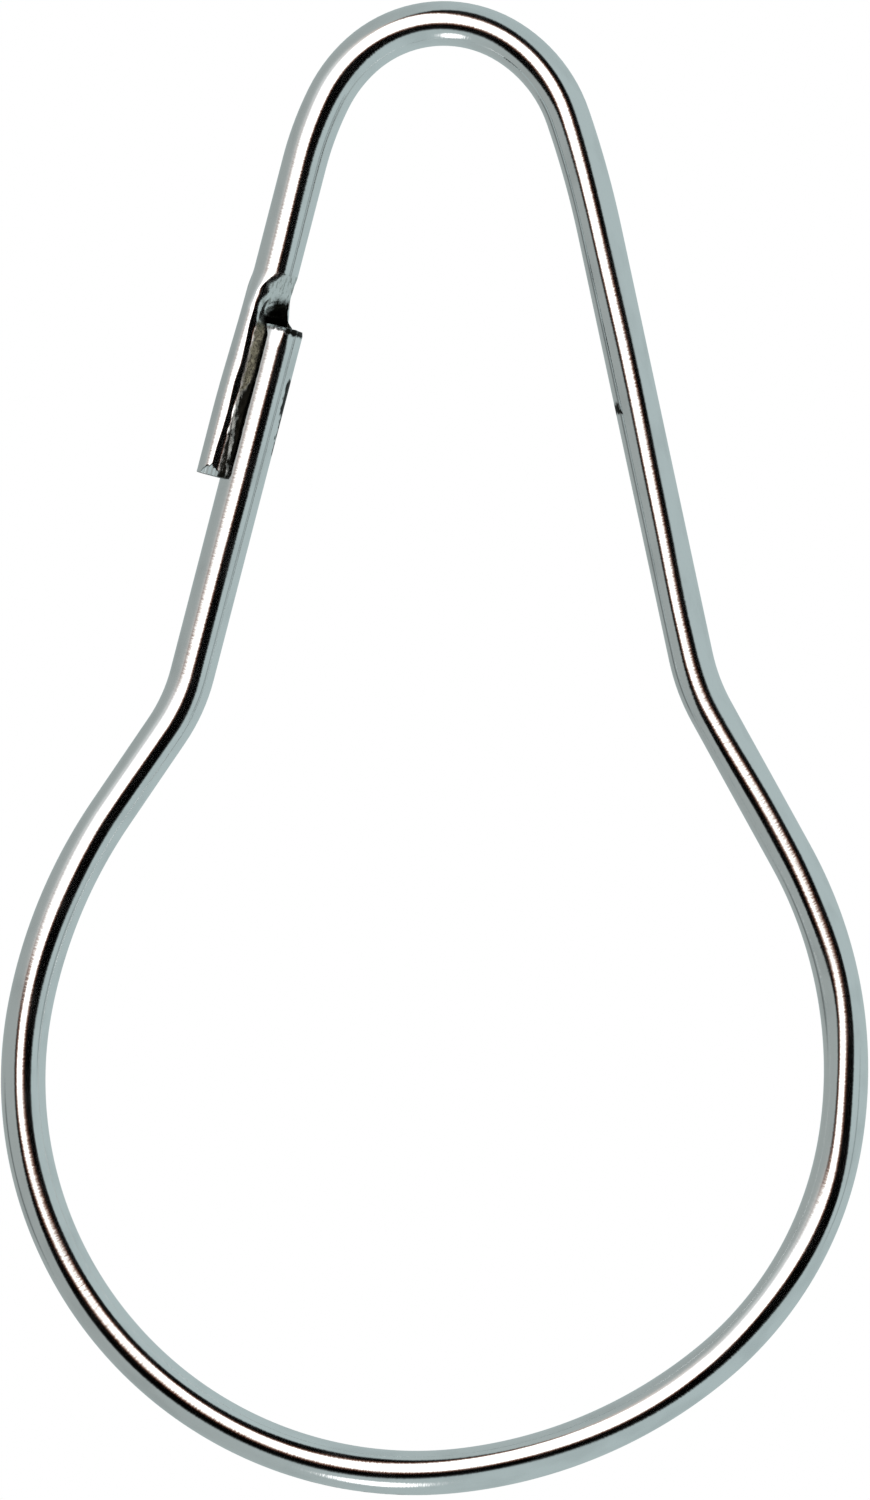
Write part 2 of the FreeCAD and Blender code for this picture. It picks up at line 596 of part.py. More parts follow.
def make_ring_wire(document, size):
    """The whole ring: pressed catch, its groove and sheared end, then the wire bent round to it."""
    body = document.addObject("PartDesign::Body", "ring_wire")
    body.Label = "ring_wire"
    ring = Ring(size)
    centreline = draw_centreline(body, ring, size)

    catch_top = across_arm(body, "catch_top", "catch", "0")
    draw_wire_section(catch_top, size)
    catch_shoulder = across_arm(body, "catch_shoulder", "catch", "Sizes.swage_length")
    draw_catch_blank(catch_shoulder, size, "lip_swell_top")
    catch_end = across_arm(body, "catch_end", "catch", "Sizes.catch_length")
    draw_catch_blank(catch_end, size, "lip_swell_end")
    document.recompute()

    swage = body.newObject("PartDesign::AdditiveLoft", "swage")
    swage.Profile = catch_top
    swage.Sections = [catch_shoulder]
    swage_volume = volume_after(document, swage)
    blank = body.newObject("PartDesign::AdditiveLoft", "catch_blank")
    blank.Profile = catch_shoulder
    blank.Sections = [catch_end]
    blank.Ruled = True
    blank_volume = volume_after(document, blank)

    groove_section = across_arm(body, "groove_section", "cut", REACH)
    draw_groove(groove_section, size)
    groove_path = along_arm(body, "groove_path", "cut")
    reach_length = size("catch_length") - ring.cut_end_step() + size("wire_diameter") / 2
    draw_groove_path(groove_path, size, reach_length)
    document.recompute()
    groove = body.newObject("PartDesign::SubtractivePipe", "groove")
    groove.Profile = groove_section
    groove.Spine = groove_path
    groove_volume = volume_after(document, groove)

    bevel_section = along_arm(body, "end_bevel_section", "catch")
    draw_end_bevel(bevel_section, size)
    document.recompute()
    end_bevel = body.newObject("PartDesign::Pocket", "end_bevel")
    end_bevel.Profile = bevel_section
    end_bevel.SideType = "Symmetric"
    end_bevel.setExpression("Length", "4 * Sizes.wire_diameter")
    bevel_volume = volume_after(document, end_bevel)

    wire_section = across_arm(body, "wire_section", "cut", "0")
    draw_wire_section(wire_section, size)
    document.recompute()
    wire = body.newObject("PartDesign::AdditivePipe", "bent_wire")
    wire.Profile = wire_section
    wire.Spine = centreline
    wire_volume = volume_after(document, wire)

    cut_edge = body.newObject("PartDesign::Chamfer", "cut_end_edge")
    cut_edge.Base = (wire, round_edges_at(wire.Shape, ring.cut_end))
    cut_edge.setExpression("Size", "Sizes.cut_end_chamfer")
    chamfer_volume = volume_after(document, cut_edge)

    if not swage_volume < blank_volume < wire_volume:
        raise RuntimeError("the catch or the wire added nothing")
    if not (groove_volume < blank_volume and bevel_volume < groove_volume and chamfer_volume < wire_volume):
        raise RuntimeError("the groove, the end bevel or the chamfer cut nothing")
    length = sum(edge.Length for edge in centreline.Shape.Edges)
    print(f"wire length {length:.2f} mm, wire volume {wire_volume - bevel_volume:.2f} mm3")
    return body


def check_document(document, bodies):
    """Stop unless every object computed and every piece is one valid solid."""
    for item in document.Objects:
        if {"Invalid", "Error"} & set(item.State):
            raise RuntimeError(f"{item.Name} failed: {item.State}")
        if item.TypeId == "Sketcher::SketchObject" and item.solve() != 0:
            raise RuntimeError(f"{item.Name} doesn't solve")
    for body in bodies:
        shape = body.Shape
        if shape.isNull() or not shape.isValid() or len(shape.Solids) != 1:
            raise RuntimeError(f"{body.Label} isn't one valid solid")


def main():
    """Build the document, check it and write each piece to its file."""
    document = FreeCAD.newDocument("curtain_hook")
    sheet = make_sheet(document)

    def size(alias):
        return float(sheet.get(alias))

    bodies = [make_ring_wire(document, size)]
    check_document(document, bodies)
    os.makedirs("parts", exist_ok=True)
    for body in bodies:
        body.Shape.exportStep(f"parts/{body.Label}.step")
        box = body.Shape.optimalBoundingBox(True)
        print(f"{body.Label}: {box.XLength:.2f} x {box.YLength:.2f} x {box.ZLength:.2f} mm,", end=" ")
        print(f"volume {body.Shape.Volume:.2f} mm3, lowest {box.ZMin:.2f}, highest {box.ZMax:.2f}")


main()
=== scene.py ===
"""Looks of the curtain hook: a pear-shaped ring of bright plated wire with a pressed catch.

The whole ring is one surface, worked out from the same sizes as the solid. A section is carried
from the wire's cut end round the ring, and along the last stretch it changes from a circle to the
pressed catch. Sizes are in millimetres and degrees, and are made metres when the mesh is written.
"""

import logging
import math
from dataclasses import dataclass, field
from enum import Enum

import bpy
import numpy as np
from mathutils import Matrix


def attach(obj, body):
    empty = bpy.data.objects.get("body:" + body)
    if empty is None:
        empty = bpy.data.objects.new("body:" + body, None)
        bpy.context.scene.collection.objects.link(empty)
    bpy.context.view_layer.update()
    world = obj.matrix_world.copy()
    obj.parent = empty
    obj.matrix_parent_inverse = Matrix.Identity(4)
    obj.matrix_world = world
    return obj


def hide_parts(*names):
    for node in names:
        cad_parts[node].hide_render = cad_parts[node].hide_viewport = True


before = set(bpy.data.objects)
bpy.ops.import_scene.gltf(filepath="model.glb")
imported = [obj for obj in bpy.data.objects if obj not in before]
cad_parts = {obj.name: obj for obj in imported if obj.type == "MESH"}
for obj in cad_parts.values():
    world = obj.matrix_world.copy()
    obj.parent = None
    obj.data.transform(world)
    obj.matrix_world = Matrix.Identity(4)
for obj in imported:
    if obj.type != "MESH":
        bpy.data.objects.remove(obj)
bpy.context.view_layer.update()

LOG = logging.getLogger("curtain_hook")
MM = 0.001
Array = np.ndarray
Triple = tuple[float, float, float]
Pairs = tuple[tuple[float, float], ...]


def unit(angle: Array) -> Array:
    """Unit vectors at an angle in radians: its cosine and its sine."""
    return np.stack([np.cos(angle), np.sin(angle)], axis=-1)


def direction(degrees: float | Array) -> Array:
    """Unit vectors in the ring's plane: cosine of the angle across, its sine up."""
    return unit(np.radians(degrees))


def heading(vector: Array) -> float:
    """Angle of a vector in the ring's plane, in degrees."""
    return math.degrees(math.atan2(vector[1], vector[0]))


def ease(value: Array, start: float, end: float) -> Array:
    """Smooth step from 0 at start to 1 at end: three times the square less twice the cube."""
    share = np.clip((value - start) / (end - start), 0.0, 1.0)
    return share * share * (3.0 - 2.0 * share)


def rounded_line(places: Pairs, at: Array, reach: float = 0.25) -> Array:
    """Straight lines from place to place with their corners rounded.

    Args:
        places: Pairs of place and value, in order.
        at: Where the line is wanted.
        reach: How far before and after a place the rounding goes.

    Returns:
        The mean of the straight lines' value over that reach.
    """
    known, values = np.array(places).T
    shifts = np.linspace(-reach, reach, 9)
    return np.mean([np.interp(at + shift, known, values) for shift in shifts], axis=0)


def soft_max(first: Array, second: Array, radius: float | Array) -> Array:
    """Larger of two values, with the crease between them rounded.

    The formula is half of the sum and the root of the squared difference plus a squared radius.

    Args:
        first: One value.
        second: The other value.
        radius: How far the rounding reaches to either side of the crease.

    Returns:
        The rounded maximum.
    """
    return 0.5 * (first + second + np.sqrt((first - second) ** 2 + radius**2))


def ripples(first: Array, second: Array, lengths: tuple[float, float], seed: int) -> Array:
    """Seeded uneven surface: the mean of 24 plane waves with random headings and phases.

    Args:
        first: First surface coordinate, in millimetres.
        second: Second surface coordinate, in millimetres.
        lengths: Shortest wave along each coordinate, in millimetres.
        seed: Seed of the waves.

    Returns:
        A value around 0 whose spread is about 1.
    """
    waves = 24
    draw = np.random.default_rng(seed)
    turns = draw.uniform(-1.0, 1.0, (waves, 2)) / np.array(lengths)
    phases = draw.uniform(0.0, 2.0 * math.pi, waves)
    swing = 2.0 * math.pi * (first[..., None] * turns[:, 0] + second[..., None] * turns[:, 1])
    return np.sin(swing + phases).sum(axis=-1) / math.sqrt(waves / 2.0)


def through(places: Pairs, at: Array) -> Array:
    """Smooth line through given points, level at each of them.

    Args:
        places: Pairs of place and value, in order.
        at: Where the line is wanted.

    Returns:
        The value, eased from the point before to the point after.
    """
    where, values = np.array(places).T
    after = np.clip(np.searchsorted(where, at, side="right"), 1, len(where) - 1)
    share = ease(at, where[after - 1], where[after])
    return values[after - 1] + (values[after] - values[after - 1]) * share


class Side(Enum):
    """Which way a bend turns: its hollow faces into the ring or out of it."""

    HOLLOW_IN = 1
    HOLLOW_OUT = -1


@dataclass(frozen=True)
class Straight:
    """Straight run of the wire's centreline."""

    start: Array
    end: Array
    outward: float

    def sample(self, spacing: float) -> tuple[Array, Array]:
        """Places and outward angles along the run, its end left to the next run.

        Args:
            spacing: Distance between places.

        Returns:
            The places and the angles.
        """
        count = max(2, round(float(np.linalg.norm(self.end - self.start)) / spacing))
        share = np.arange(count)[:, None] / count
        return self.start + (self.end - self.start) * share, np.full(count, self.outward)


@dataclass(frozen=True)
class Bend:
    """Arc of the wire's centreline, from one angle about its centre to another."""

    centre: Array
    radius: float
    start: float
    end: float
    side: Side = Side.HOLLOW_IN

    def sample(self, spacing: float) -> tuple[Array, Array]:
        """Places and outward angles along the arc, its end left to the next run.

        Args:
            spacing: Distance between places.

        Returns:
            The places and the angles.
        """
        length = math.radians(abs(self.end - self.start)) * self.radius
        count = max(2, math.ceil(length / spacing))
        angles = self.start + (self.end - self.start) * np.arange(count) / count
        places = self.centre + direction(angles) * self.radius
        return places, angles if self.side is Side.HOLLOW_IN else angles + 180.0


def chain_centres(radii: tuple[float, ...], joins: Array) -> Array:
    """Centres of arcs that meet in one tangent each.

    Each centre is the one before it, moved along the line through the point where the two arcs
    meet by the difference of their radii.

    Args:
        radii: Radius of each arc.
        joins: Angles at which neighbours meet, in degrees.

    Returns:
        The centres, as seen from the first one.
    """
    steps = direction(joins) * -np.diff(radii)[:, None]
    return np.concatenate([np.zeros((1, 2)), np.cumsum(steps, axis=0)])


@dataclass(frozen=True)
class RingSizes:
    """Driving sizes of the ring's centreline, the same as the solid's."""

    wire_radius: float = 1.0
    crown_top_radius: float = 5.5
    crown_right_radius: float = 6.4
    crown_right_bend: float = 38.5
    crown_right_flare_radius: float = 44.2
    crown_right_flare_bend: float = 6.9
    crown_left_radius: float = 6.5
    crown_left_bend: float = 21.5
    crown_left_flare_radius: float = 15.0
    crown_left_flare_bend: float = 12.0
    right_arm_lean: float = 12.1
    left_arm_lean: float = 14.5
    right_shoulder_drop: float = 27.4
    left_shoulder_drop: float = 28.2
    right_shoulder_radius: float = 9.0
    left_shoulder_radius: float = 8.0
    left_flank_length: float = 4.5
    right_flank_length: float = 7.4
    bulb_left_radius: float = 23.2
    bulb_main_radius: float = 17.6
    bulb_low_radius: float = 21.6
    bulb_side_radius: float = 16.4
    bulb_right_radius: float = 19.8
    bulb_main_start: float = 11.0
    bulb_main_bend: float = 107.5
    bulb_low_bend: float = 33.0
    bulb_side_bend: float = 41.5
    nest_offset: float = 0.87
    catch_start_drop: float = 10.15
    cut_end_step: float = 2.395


class Centreline:
    """Runs of the ring's centreline in order, from the wire's cut end round to the catch."""

    def __init__(self, sizes: RingSizes) -> None:
        """Work out every run from the sizes.

        Args:
            sizes: Driving sizes of the ring.
        """
        self.sizes = sizes
        left = 180.0 - sizes.left_arm_lean
        right = sizes.right_arm_lean
        self.left_out = direction(left)
        self.down_left_arm = np.array([-self.left_out[1], self.left_out[0]])
        crown = self.crown_runs(left, right)
        left_arm_top = crown[-1].centre + self.left_out * sizes.crown_left_flare_radius
        right_arm_top = crown[0].centre + direction(right) * sizes.crown_right_flare_radius
        down_right_arm = np.array([direction(right)[1], -direction(right)[0]])

        self.catch_start = self.drop(left_arm_top, self.down_left_arm, sizes.catch_start_drop)
        lower_line = self.catch_start - self.left_out * sizes.nest_offset
        cut_end = lower_line + self.down_left_arm * sizes.cut_end_step
        left_arm_end = self.drop(lower_line, self.down_left_arm, sizes.left_shoulder_drop)
        right_arm_end = self.drop(right_arm_top, down_right_arm, sizes.right_shoulder_drop)
        left_shoulder = left_arm_end + self.left_out * sizes.left_shoulder_radius
        right_shoulder = right_arm_end + direction(right) * sizes.right_shoulder_radius
        bulb, left_touch, right_touch = self.bulb_runs(left_shoulder, right_shoulder)
        left_normal = direction(left_touch)
        right_normal = direction(right_touch)
        self.runs = [
            Straight(cut_end, left_arm_end, left),
            Bend(
                left_shoulder, sizes.left_shoulder_radius, left - 180.0, left_touch - 180.0, Side.HOLLOW_OUT
            ),
            Straight(
                left_shoulder - left_normal * sizes.left_shoulder_radius,
                bulb[0].centre + left_normal * sizes.bulb_left_radius, left_touch,
            ),
            *bulb,
            Straight(
                bulb[-1].centre + right_normal * sizes.bulb_right_radius,
                right_shoulder - right_normal * sizes.right_shoulder_radius, right_touch,
            ),
            Bend(
                right_shoulder, sizes.right_shoulder_radius, right_touch + 180.0, right + 180.0,
                Side.HOLLOW_OUT,
            ),
            Straight(right_arm_end, right_arm_top, right),
            *crown,
            Straight(left_arm_top, self.catch_start, left),
        ]

    def drop(self, point: Array, down: Array, depth: float) -> Array:
        """Point of an arm's line at this depth below the origin."""
        return point + down * ((depth + point[1]) / -down[1])

    def crown_runs(self, left: float, right: float) -> list[Bend]:
        """Bends of the crown in order from the right arm to the left one.

        Args:
            left: Outward angle of the left arm.
            right: Outward angle of the right arm.

        Returns:
            Five bends that meet in one tangent.
        """
        sizes = self.sizes
        right_join = right + sizes.crown_right_flare_bend
        top_start = right_join + sizes.crown_right_bend
        left_join = left - sizes.crown_left_flare_bend
        top_end = left_join - sizes.crown_left_bend
        radii = (
            sizes.crown_right_flare_radius, sizes.crown_right_radius, sizes.crown_top_radius,
            sizes.crown_left_radius, sizes.crown_left_flare_radius,
        )
        joins = (right, right_join, top_start, top_end, left_join, left)
        top = np.array([0.0, sizes.wire_radius - sizes.crown_top_radius])
        centres = chain_centres(radii, np.array(joins[1:-1]))
        centres += top - centres[len(radii) // 2]
        return [Bend(*run) for run in zip(centres, radii, joins, joins[1:])]

    def bulb_runs(self, left_shoulder: Array, right_shoulder: Array) -> tuple[list[Bend], float, float]:
        """Bends of the bulb, hung between the shoulders on its two straight flanks.

        The bulb's place is the lower crossing of two circles about the shoulders, whose radii
        follow from the flanks' lengths.

        Args:
            left_shoulder: Centre of the left shoulder bend.
            right_shoulder: Centre of the right shoulder bend.

        Returns:
            The five bends, and the outward angles of the left and the right flank.
        """
        sizes = self.sizes
        start = 180.0 - sizes.bulb_main_start
        joins = start + np.cumsum([0.0, sizes.bulb_main_bend, sizes.bulb_low_bend, sizes.bulb_side_bend])
        radii = (
            sizes.bulb_left_radius, sizes.bulb_main_radius, sizes.bulb_low_radius,
            sizes.bulb_side_radius, sizes.bulb_right_radius,
        )
        offsets = chain_centres(radii, joins)
        left_sum = sizes.left_shoulder_radius + radii[0]
        right_sum = sizes.right_shoulder_radius + radii[-1]
        left_reach = math.hypot(sizes.left_flank_length, left_sum)
        right_reach = math.hypot(sizes.right_flank_length, right_sum)
        across = right_shoulder - offsets[-1] - left_shoulder
        width = float(np.linalg.norm(across))
        along = (width + (left_reach**2 - right_reach**2) / width) / 2.0
        below = math.sqrt(left_reach**2 - along**2)
        toward = across / width
        centre = left_shoulder + toward * along + np.array([toward[1], -toward[0]]) * below

        centres = centre + offsets
        left_turn = math.degrees(math.atan2(sizes.left_flank_length, left_sum))
        right_turn = math.degrees(math.atan2(sizes.right_flank_length, right_sum))
        left_touch = heading(left_shoulder - centres[0]) + left_turn
        right_touch = heading(right_shoulder - centres[-1]) - right_turn
        edges = [left_touch, *joins, right_touch + 360.0]
        return [Bend(*run) for run in zip(centres, radii, edges, edges[1:])], left_touch, right_touch

    def stations(self, straight_spacing: float, bend_spacing: float) -> tuple[Array, Array, Array]:
        """Places along the whole centreline.

        Args:
            straight_spacing: Distance between places on a straight run.
            bend_spacing: Distance between places on a bend.

        Returns:
            The places, the unit vectors into the ring, and the distance from the cut end.
        """
        sampled = [
            run.sample(straight_spacing if isinstance(run, Straight) else bend_spacing)
            for run in self.runs
        ]
        places = np.concatenate([places for places, _ in sampled])
        inward = -direction(np.concatenate([angles for _, angles in sampled]))
        steps = np.linalg.norm(np.diff(places, axis=0), axis=1)
        return places, inward, np.concatenate([[0.0], np.cumsum(steps)])


@dataclass(frozen=True)
class CatchSizes:
    """Sizes of the pressed catch.

    Across is the distance from the arm's axis into the ring, depth the distance away from the
    viewer, and down the distance from the catch's start towards its end. A line that changes down
    the catch is given as pairs of down and value.
    """

    length: float = 9.55
    swage_length: float = 2.0
    back: float = 1.497
    right_side: float = 1.15
    front: float = 1.045
    swell_top: float = 0.08
    swell_end: float = 0.21
    box_power: float = 8.0
    heel_power: float = 3.0
    groove_across: float = 0.87
    groove_radius: float = 1.1
    run_out_radius: float = 8.0
    run_out_start: float = 5.8
    wrap_end: float = 2.4
    corner_radius: float = 0.62
    wall_slope: float = 38.0
    shoulder_fall: float = 0.062
    land_slope: float = 4.5
    crease: float = 0.03
    crease_right: float = 0.12
    ridge_height: float = 0.035
    ridge_width: float = 0.09
    ridge_wander: float = 0.05
    ridge_start: float = 5.7
    ridge_full: float = 6.9
    land_start: float = 2.1
    land_full: float = 2.9
    lip_turn: float = 0.62
    rough_edge: float = 0.05
    bevel_height: float = 0.4
    bevel_depth: float = 0.22
    ripple_height: float = 0.007
    rim: Pairs = (
        (0.0, 1.0), (0.5, 0.95), (1.0, 0.92), (1.5, 0.945), (2.0, 1.02), (2.45, 1.12), (9.6, 1.15),
    )
    crest: Pairs = (
        (-0.5, 0.45), (0.0, 0.07), (0.5, -0.29), (0.9, -0.57), (1.5, -0.67), (2.5, -0.68), (3.1, -0.57),
        (4.4, -0.5), (5.3, -0.6), (6.6, -0.52), (7.5, -0.56), (8.5, -0.66), (9.6, -0.66),
    )
    valley: Pairs = (
        (-0.5, 0.7), (0.0, 0.32), (0.5, 0.0), (1.0, -0.34), (1.5, -0.39), (2.5, -0.34), (3.5, -0.26),
        (4.4, -0.2), (5.3, -0.26), (6.6, -0.3), (9.6, -0.3),
    )
    shoulder_radius: Pairs = ((0.0, 1.6), (0.6, 1.5), (1.0, 1.05), (1.5, 0.8), (9.6, 0.8))
    ridge: Pairs = (
        (5.6, -0.28), (6.2, -0.24), (7.0, -0.16), (7.6, -0.08), (8.2, 0.0), (9.0, 0.05), (9.6, 0.05),
    )
    lip_edge: Pairs = (
        (0.0, 0.02), (1.9, 0.02), (2.9, 0.24), (5.5, 0.26), (6.5, 0.2), (8.0, 0.24), (9.6, 0.2),
    )


class Catch:
    """Sections of the pressed catch, from the round wire to its sheared end.

    Down is the column of the sections' distances from the catch's start, and across, wherever it
    is asked for, the distance into the ring from the arm's axis.
    """

    LIP_SHARE = 0.55

    def __init__(self, sizes: CatchSizes) -> None:
        """Keep the sizes, and work out the column of distances."""
        self.sizes = sizes
        self.down = np.concatenate([[0.0], self.steps()])[:, None]

    def steps(self) -> Array:
        """Distances of the sections from the catch's start: closer where the scoop begins and at the end.

        Returns:
            The distances, in order.
        """
        length = self.sizes.length
        bands = (
            (0.03, 0.6, 0.03), (0.6, 3.0, 0.05), (3.0, length - 0.5, 0.07),
            (length - 0.5, length - 0.05, 0.04),
        )
        last = [length - 0.05, length - 0.02, length]
        return np.unique(np.concatenate([*(np.arange(*band) for band in bands), last]))

    def outline_radius(self, angle: Array) -> Array:
        """Distance of the blank's outline from the arm's axis, behind the section.

        The outline is a rounded box: the power mean of the distances to its sides, which starts
        as the round wire and reaches full size at the end of the swage. Towards the inner side
        it is scaled to end at the rim.

        Args:
            angle: Angle from the inward direction towards the back, in radians.

        Returns:
            The distance from the axis.
        """
        sizes, down = self.sizes, self.down
        left = 1.0 + self.swell()
        power = np.where(angle < math.pi / 2.0, sizes.box_power, sizes.heel_power)
        sideways = np.where(np.cos(angle) > 0.0, np.cos(angle) / sizes.right_side, -np.cos(angle) / left)
        back = np.abs(np.sin(angle)) / sizes.back
        box = (sideways**power + back**power) ** (-1.0 / power)
        share = ease(down, 0.0, sizes.swage_length)
        inner_side = 1.0 + (sizes.right_side - 1.0) * share
        inward = np.clip(np.cos(angle), 0.0, None) ** 2
        return (1.0 + (box - 1.0) * share) * (1.0 + (through(sizes.rim, down) / inner_side - 1.0) * inward)

    def swell(self) -> Array:
        """How far the catch stands out past the wire on its left: it eases out at the top, then further.

        Returns:
            The distance past the wire.
        """
        sizes, down = self.sizes, self.down
        top = sizes.swell_top * ease(down, 0.0, sizes.swage_length / 2.0)
        rest = (sizes.swell_end - sizes.swell_top) * ease(down, sizes.swage_length / 2.0, 0.7 * sizes.length)
        return top + rest

    def cut_depth(self, across: Array) -> Array:
        """Depth of the groove's floor, which rises out on an arc towards the catch's start.

        Args:
            across: Distance into the ring from the arm's axis.

        Returns:
            The depth, far in front where there is no groove.
        """
        sizes, down = self.sizes, self.down
        room = np.clip(sizes.groove_radius**2 - (across - sizes.groove_across) ** 2, 0.0, None)
        floor = np.where(room > 0.0, np.sqrt(room), -sizes.run_out_radius) + sizes.run_out_radius
        above = np.clip(sizes.run_out_start - down, 0.0, None)
        return np.sqrt(np.clip(floor**2 - above**2, 0.0, None)) - sizes.run_out_radius

    def front_depth(self, across: Array) -> Array:
        """Depth of the front surface: the rounded wire, cut back to the right of its crest.

        The wire's front is a circle that changes to a flat with a round left corner. Right of
        the crest the surface falls on an arc. Beside the scoop it goes on as a steep wall, and
        further down it levels off to a land that leads to the lip's edge.

        Args:
            across: Distance into the ring from the arm's axis.

        Returns:
            The depth away from the viewer.
        """
        sizes, down = self.sizes, self.down
        pressed = ease(down, 0.1, sizes.swage_length)
        wire = -np.sqrt(np.clip(1.0 - across**2, 0.0, None))
        corner = sizes.corner_radius
        past_corner = np.clip(corner - 1.0 - self.swell() - across, 0.0, corner)
        corner_fall = corner - np.sqrt(corner**2 - past_corner**2)
        right_fall = 0.5 * np.clip(across - 0.3, 0.0, None) ** 2
        blank = -sizes.front + corner_fall + right_fall
        base = wire + (blank - wire) * pressed

        crest = rounded_line(sizes.crest, down)
        past = np.clip(across - crest, 0.0, None)
        steepest = math.radians(sizes.wall_slope)
        radius = rounded_line(sizes.shoulder_radius, down)
        arc_width = radius * math.sin(steepest)
        on_arc = radius - np.sqrt(radius**2 - np.clip(past, 0.0, arc_width) ** 2)
        wall = on_arc + np.clip(past - arc_width, 0.0, None) * math.tan(steepest)
        width = rounded_line(sizes.valley, down) - crest
        land = sizes.shoulder_fall * ease(past, 0.0, width)
        land = land + np.clip(past - 0.5 * width, 0.0, None) * math.tan(math.radians(sizes.land_slope))
        fall = wall + (land - wall) * ease(down, sizes.land_start, sizes.land_full)
        round_crest = -np.sqrt(1.0 - crest**2)
        cut = round_crest + (-sizes.front - round_crest) * pressed + fall
        cut = cut - self.ridge_height(across)
        cut = np.where(past > 0.0, cut, base)
        return np.maximum(cut, base)

    def ridge_height(self, across: Array) -> Array:
        """Height of the burr that runs down the lower land: a bell curve with a wandering middle.

        Args:
            across: Distance into the ring from the arm's axis.

        Returns:
            The height in front of the land.
        """
        sizes, down = self.sizes, self.down
        wander = sizes.ridge_wander * ripples(0.0 * across, down + 0.0 * across, (1.0, 0.7), 7)
        past = (across - through(sizes.ridge, down) - wander) / sizes.ridge_width
        return sizes.ridge_height * np.exp(-(past**2)) * ease(down, sizes.ridge_start, sizes.ridge_full)

    def section(self, count: int) -> Array:
        """Closed outlines of the sections, as across and depth.

        The first half of the points runs from the rim round the back to the left side by polar
        angle. The second half runs over the lip and through the groove. Above the lower wire's
        end it is the front's depth over evenly turned places across. Below it, the lip ends in
        an edge that wraps the wire, and the groove is an arc about the wire's axis.

        Args:
            count: Number of points in each outline, an even number.

        Returns:
            An array of sections by points by two.
        """
        sizes, down = self.sizes, self.down
        turn = 2.0 * math.pi * np.arange(count) / count
        half = count // 2

        right = through(sizes.rim, down)
        rim_depth = np.clip(self.cut_depth(right - 0.02), 0.0, None)
        rim_angle = np.arctan2(rim_depth, right) * ease(down, 0.1, 0.5)
        polar = rim_angle + turn[:half] * (math.pi - rim_angle) / math.pi
        reach = self.outline_radius(polar)
        back = reach[..., None] * unit(polar)

        rim_across = back[:, :1, 0]
        left = -(1.0 + self.swell())
        sweep = turn[half:]
        across = (rim_across + left) / 2.0 + (rim_across - left) / 2.0 * np.cos(sweep)
        front_depth = self.front_depth(across)
        cut = self.cut_depth(across)
        rounding = sizes.crease + sizes.crease_right * ease(across, 0.1, 0.5)
        rounding = rounding * ease(down, 0.0, 0.15)
        depth = np.where(cut > -1.2, soft_max(front_depth, cut, rounding), front_depth)
        open_front = np.stack([across, depth], axis=-1)

        lip_count = round(self.LIP_SHARE * half)
        lip_turn = np.linspace(0.0, 1.0, lip_count)
        edge_across = through(sizes.lip_edge, down)
        turned = 1.0 - np.cos(math.pi * sizes.lip_turn * lip_turn)
        lip_across = left + (edge_across - left) * turned / (1.0 - math.cos(math.pi * sizes.lip_turn))
        lip_depth = self.front_depth(lip_across)
        lip = np.stack([lip_across, lip_depth], axis=-1)
        edge = np.arctan2(lip_depth[:, -1:], edge_across - sizes.groove_across) % (2.0 * math.pi)
        rim_turn = np.arctan2(rim_depth, rim_across - sizes.groove_across)
        share = np.linspace(0.0, 1.0, half - lip_count + 2)[1:-1]
        arc_turn = edge + (rim_turn - edge) * share
        arc = sizes.groove_radius * unit(arc_turn)
        arc[..., 0] += sizes.groove_across
        closed_front = np.concatenate([lip, arc], axis=1)
        wrap = ease(down, sizes.wrap_end - 0.5, sizes.wrap_end)[..., None]
        front = open_front + (closed_front - open_front) * wrap
        outline = np.concatenate([back, self.bevelled(front)], axis=1)
        return self.press_marks(outline)

    def bevelled(self, front: Array) -> Array:
        """Front with the sheared end sloping back, its upper edge uneven.

        Args:
            front: Front of each section, as across and depth.

        Returns:
            The front, cut back where the slope is deeper.
        """
        sizes, down = self.sizes, self.down
        rough_edge = sizes.rough_edge * ripples(front[..., 0], 0.0 * front[..., 0], (0.16, 1.0), 3)
        past = down - sizes.length + sizes.bevel_height + rough_edge
        bevel = -sizes.front + past * sizes.bevel_depth / sizes.bevel_height
        on_front = ease(-front[..., 1], 0.4, 0.6)
        depth = front[..., 1] + (np.maximum(front[..., 1], bevel) - front[..., 1]) * on_front
        return np.stack([front[..., 0], depth], axis=-1)

    def press_marks(self, outline: Array) -> Array:
        """Uneven surface of the pressing: small seeded ripples that fade out on the round wire.

        Args:
            outline: Closed outlines, as across and depth.

        Returns:
            The outlines, moved along their normals.
        """
        down = self.down
        following = np.roll(outline, -1, axis=1) - np.roll(outline, 1, axis=1)
        normal = np.stack([following[..., 1], -following[..., 0]], axis=-1)
        normal /= np.linalg.norm(normal, axis=-1, keepdims=True) + 1e-9
        stretch = np.cumsum(np.linalg.norm(np.diff(outline, axis=1, append=outline[:, :1]), axis=-1), axis=1)
        height = ripples(stretch, np.broadcast_to(down, stretch.shape), (0.35, 0.45), 11)
        shown = ease(outline[..., 0], -0.3, 0.0) * ease(down, 0.6, 1.4) * ease(-outline[..., 1], -0.9, -0.6)
        return outline - normal * (self.sizes.ripple_height * height * shown)[..., None]


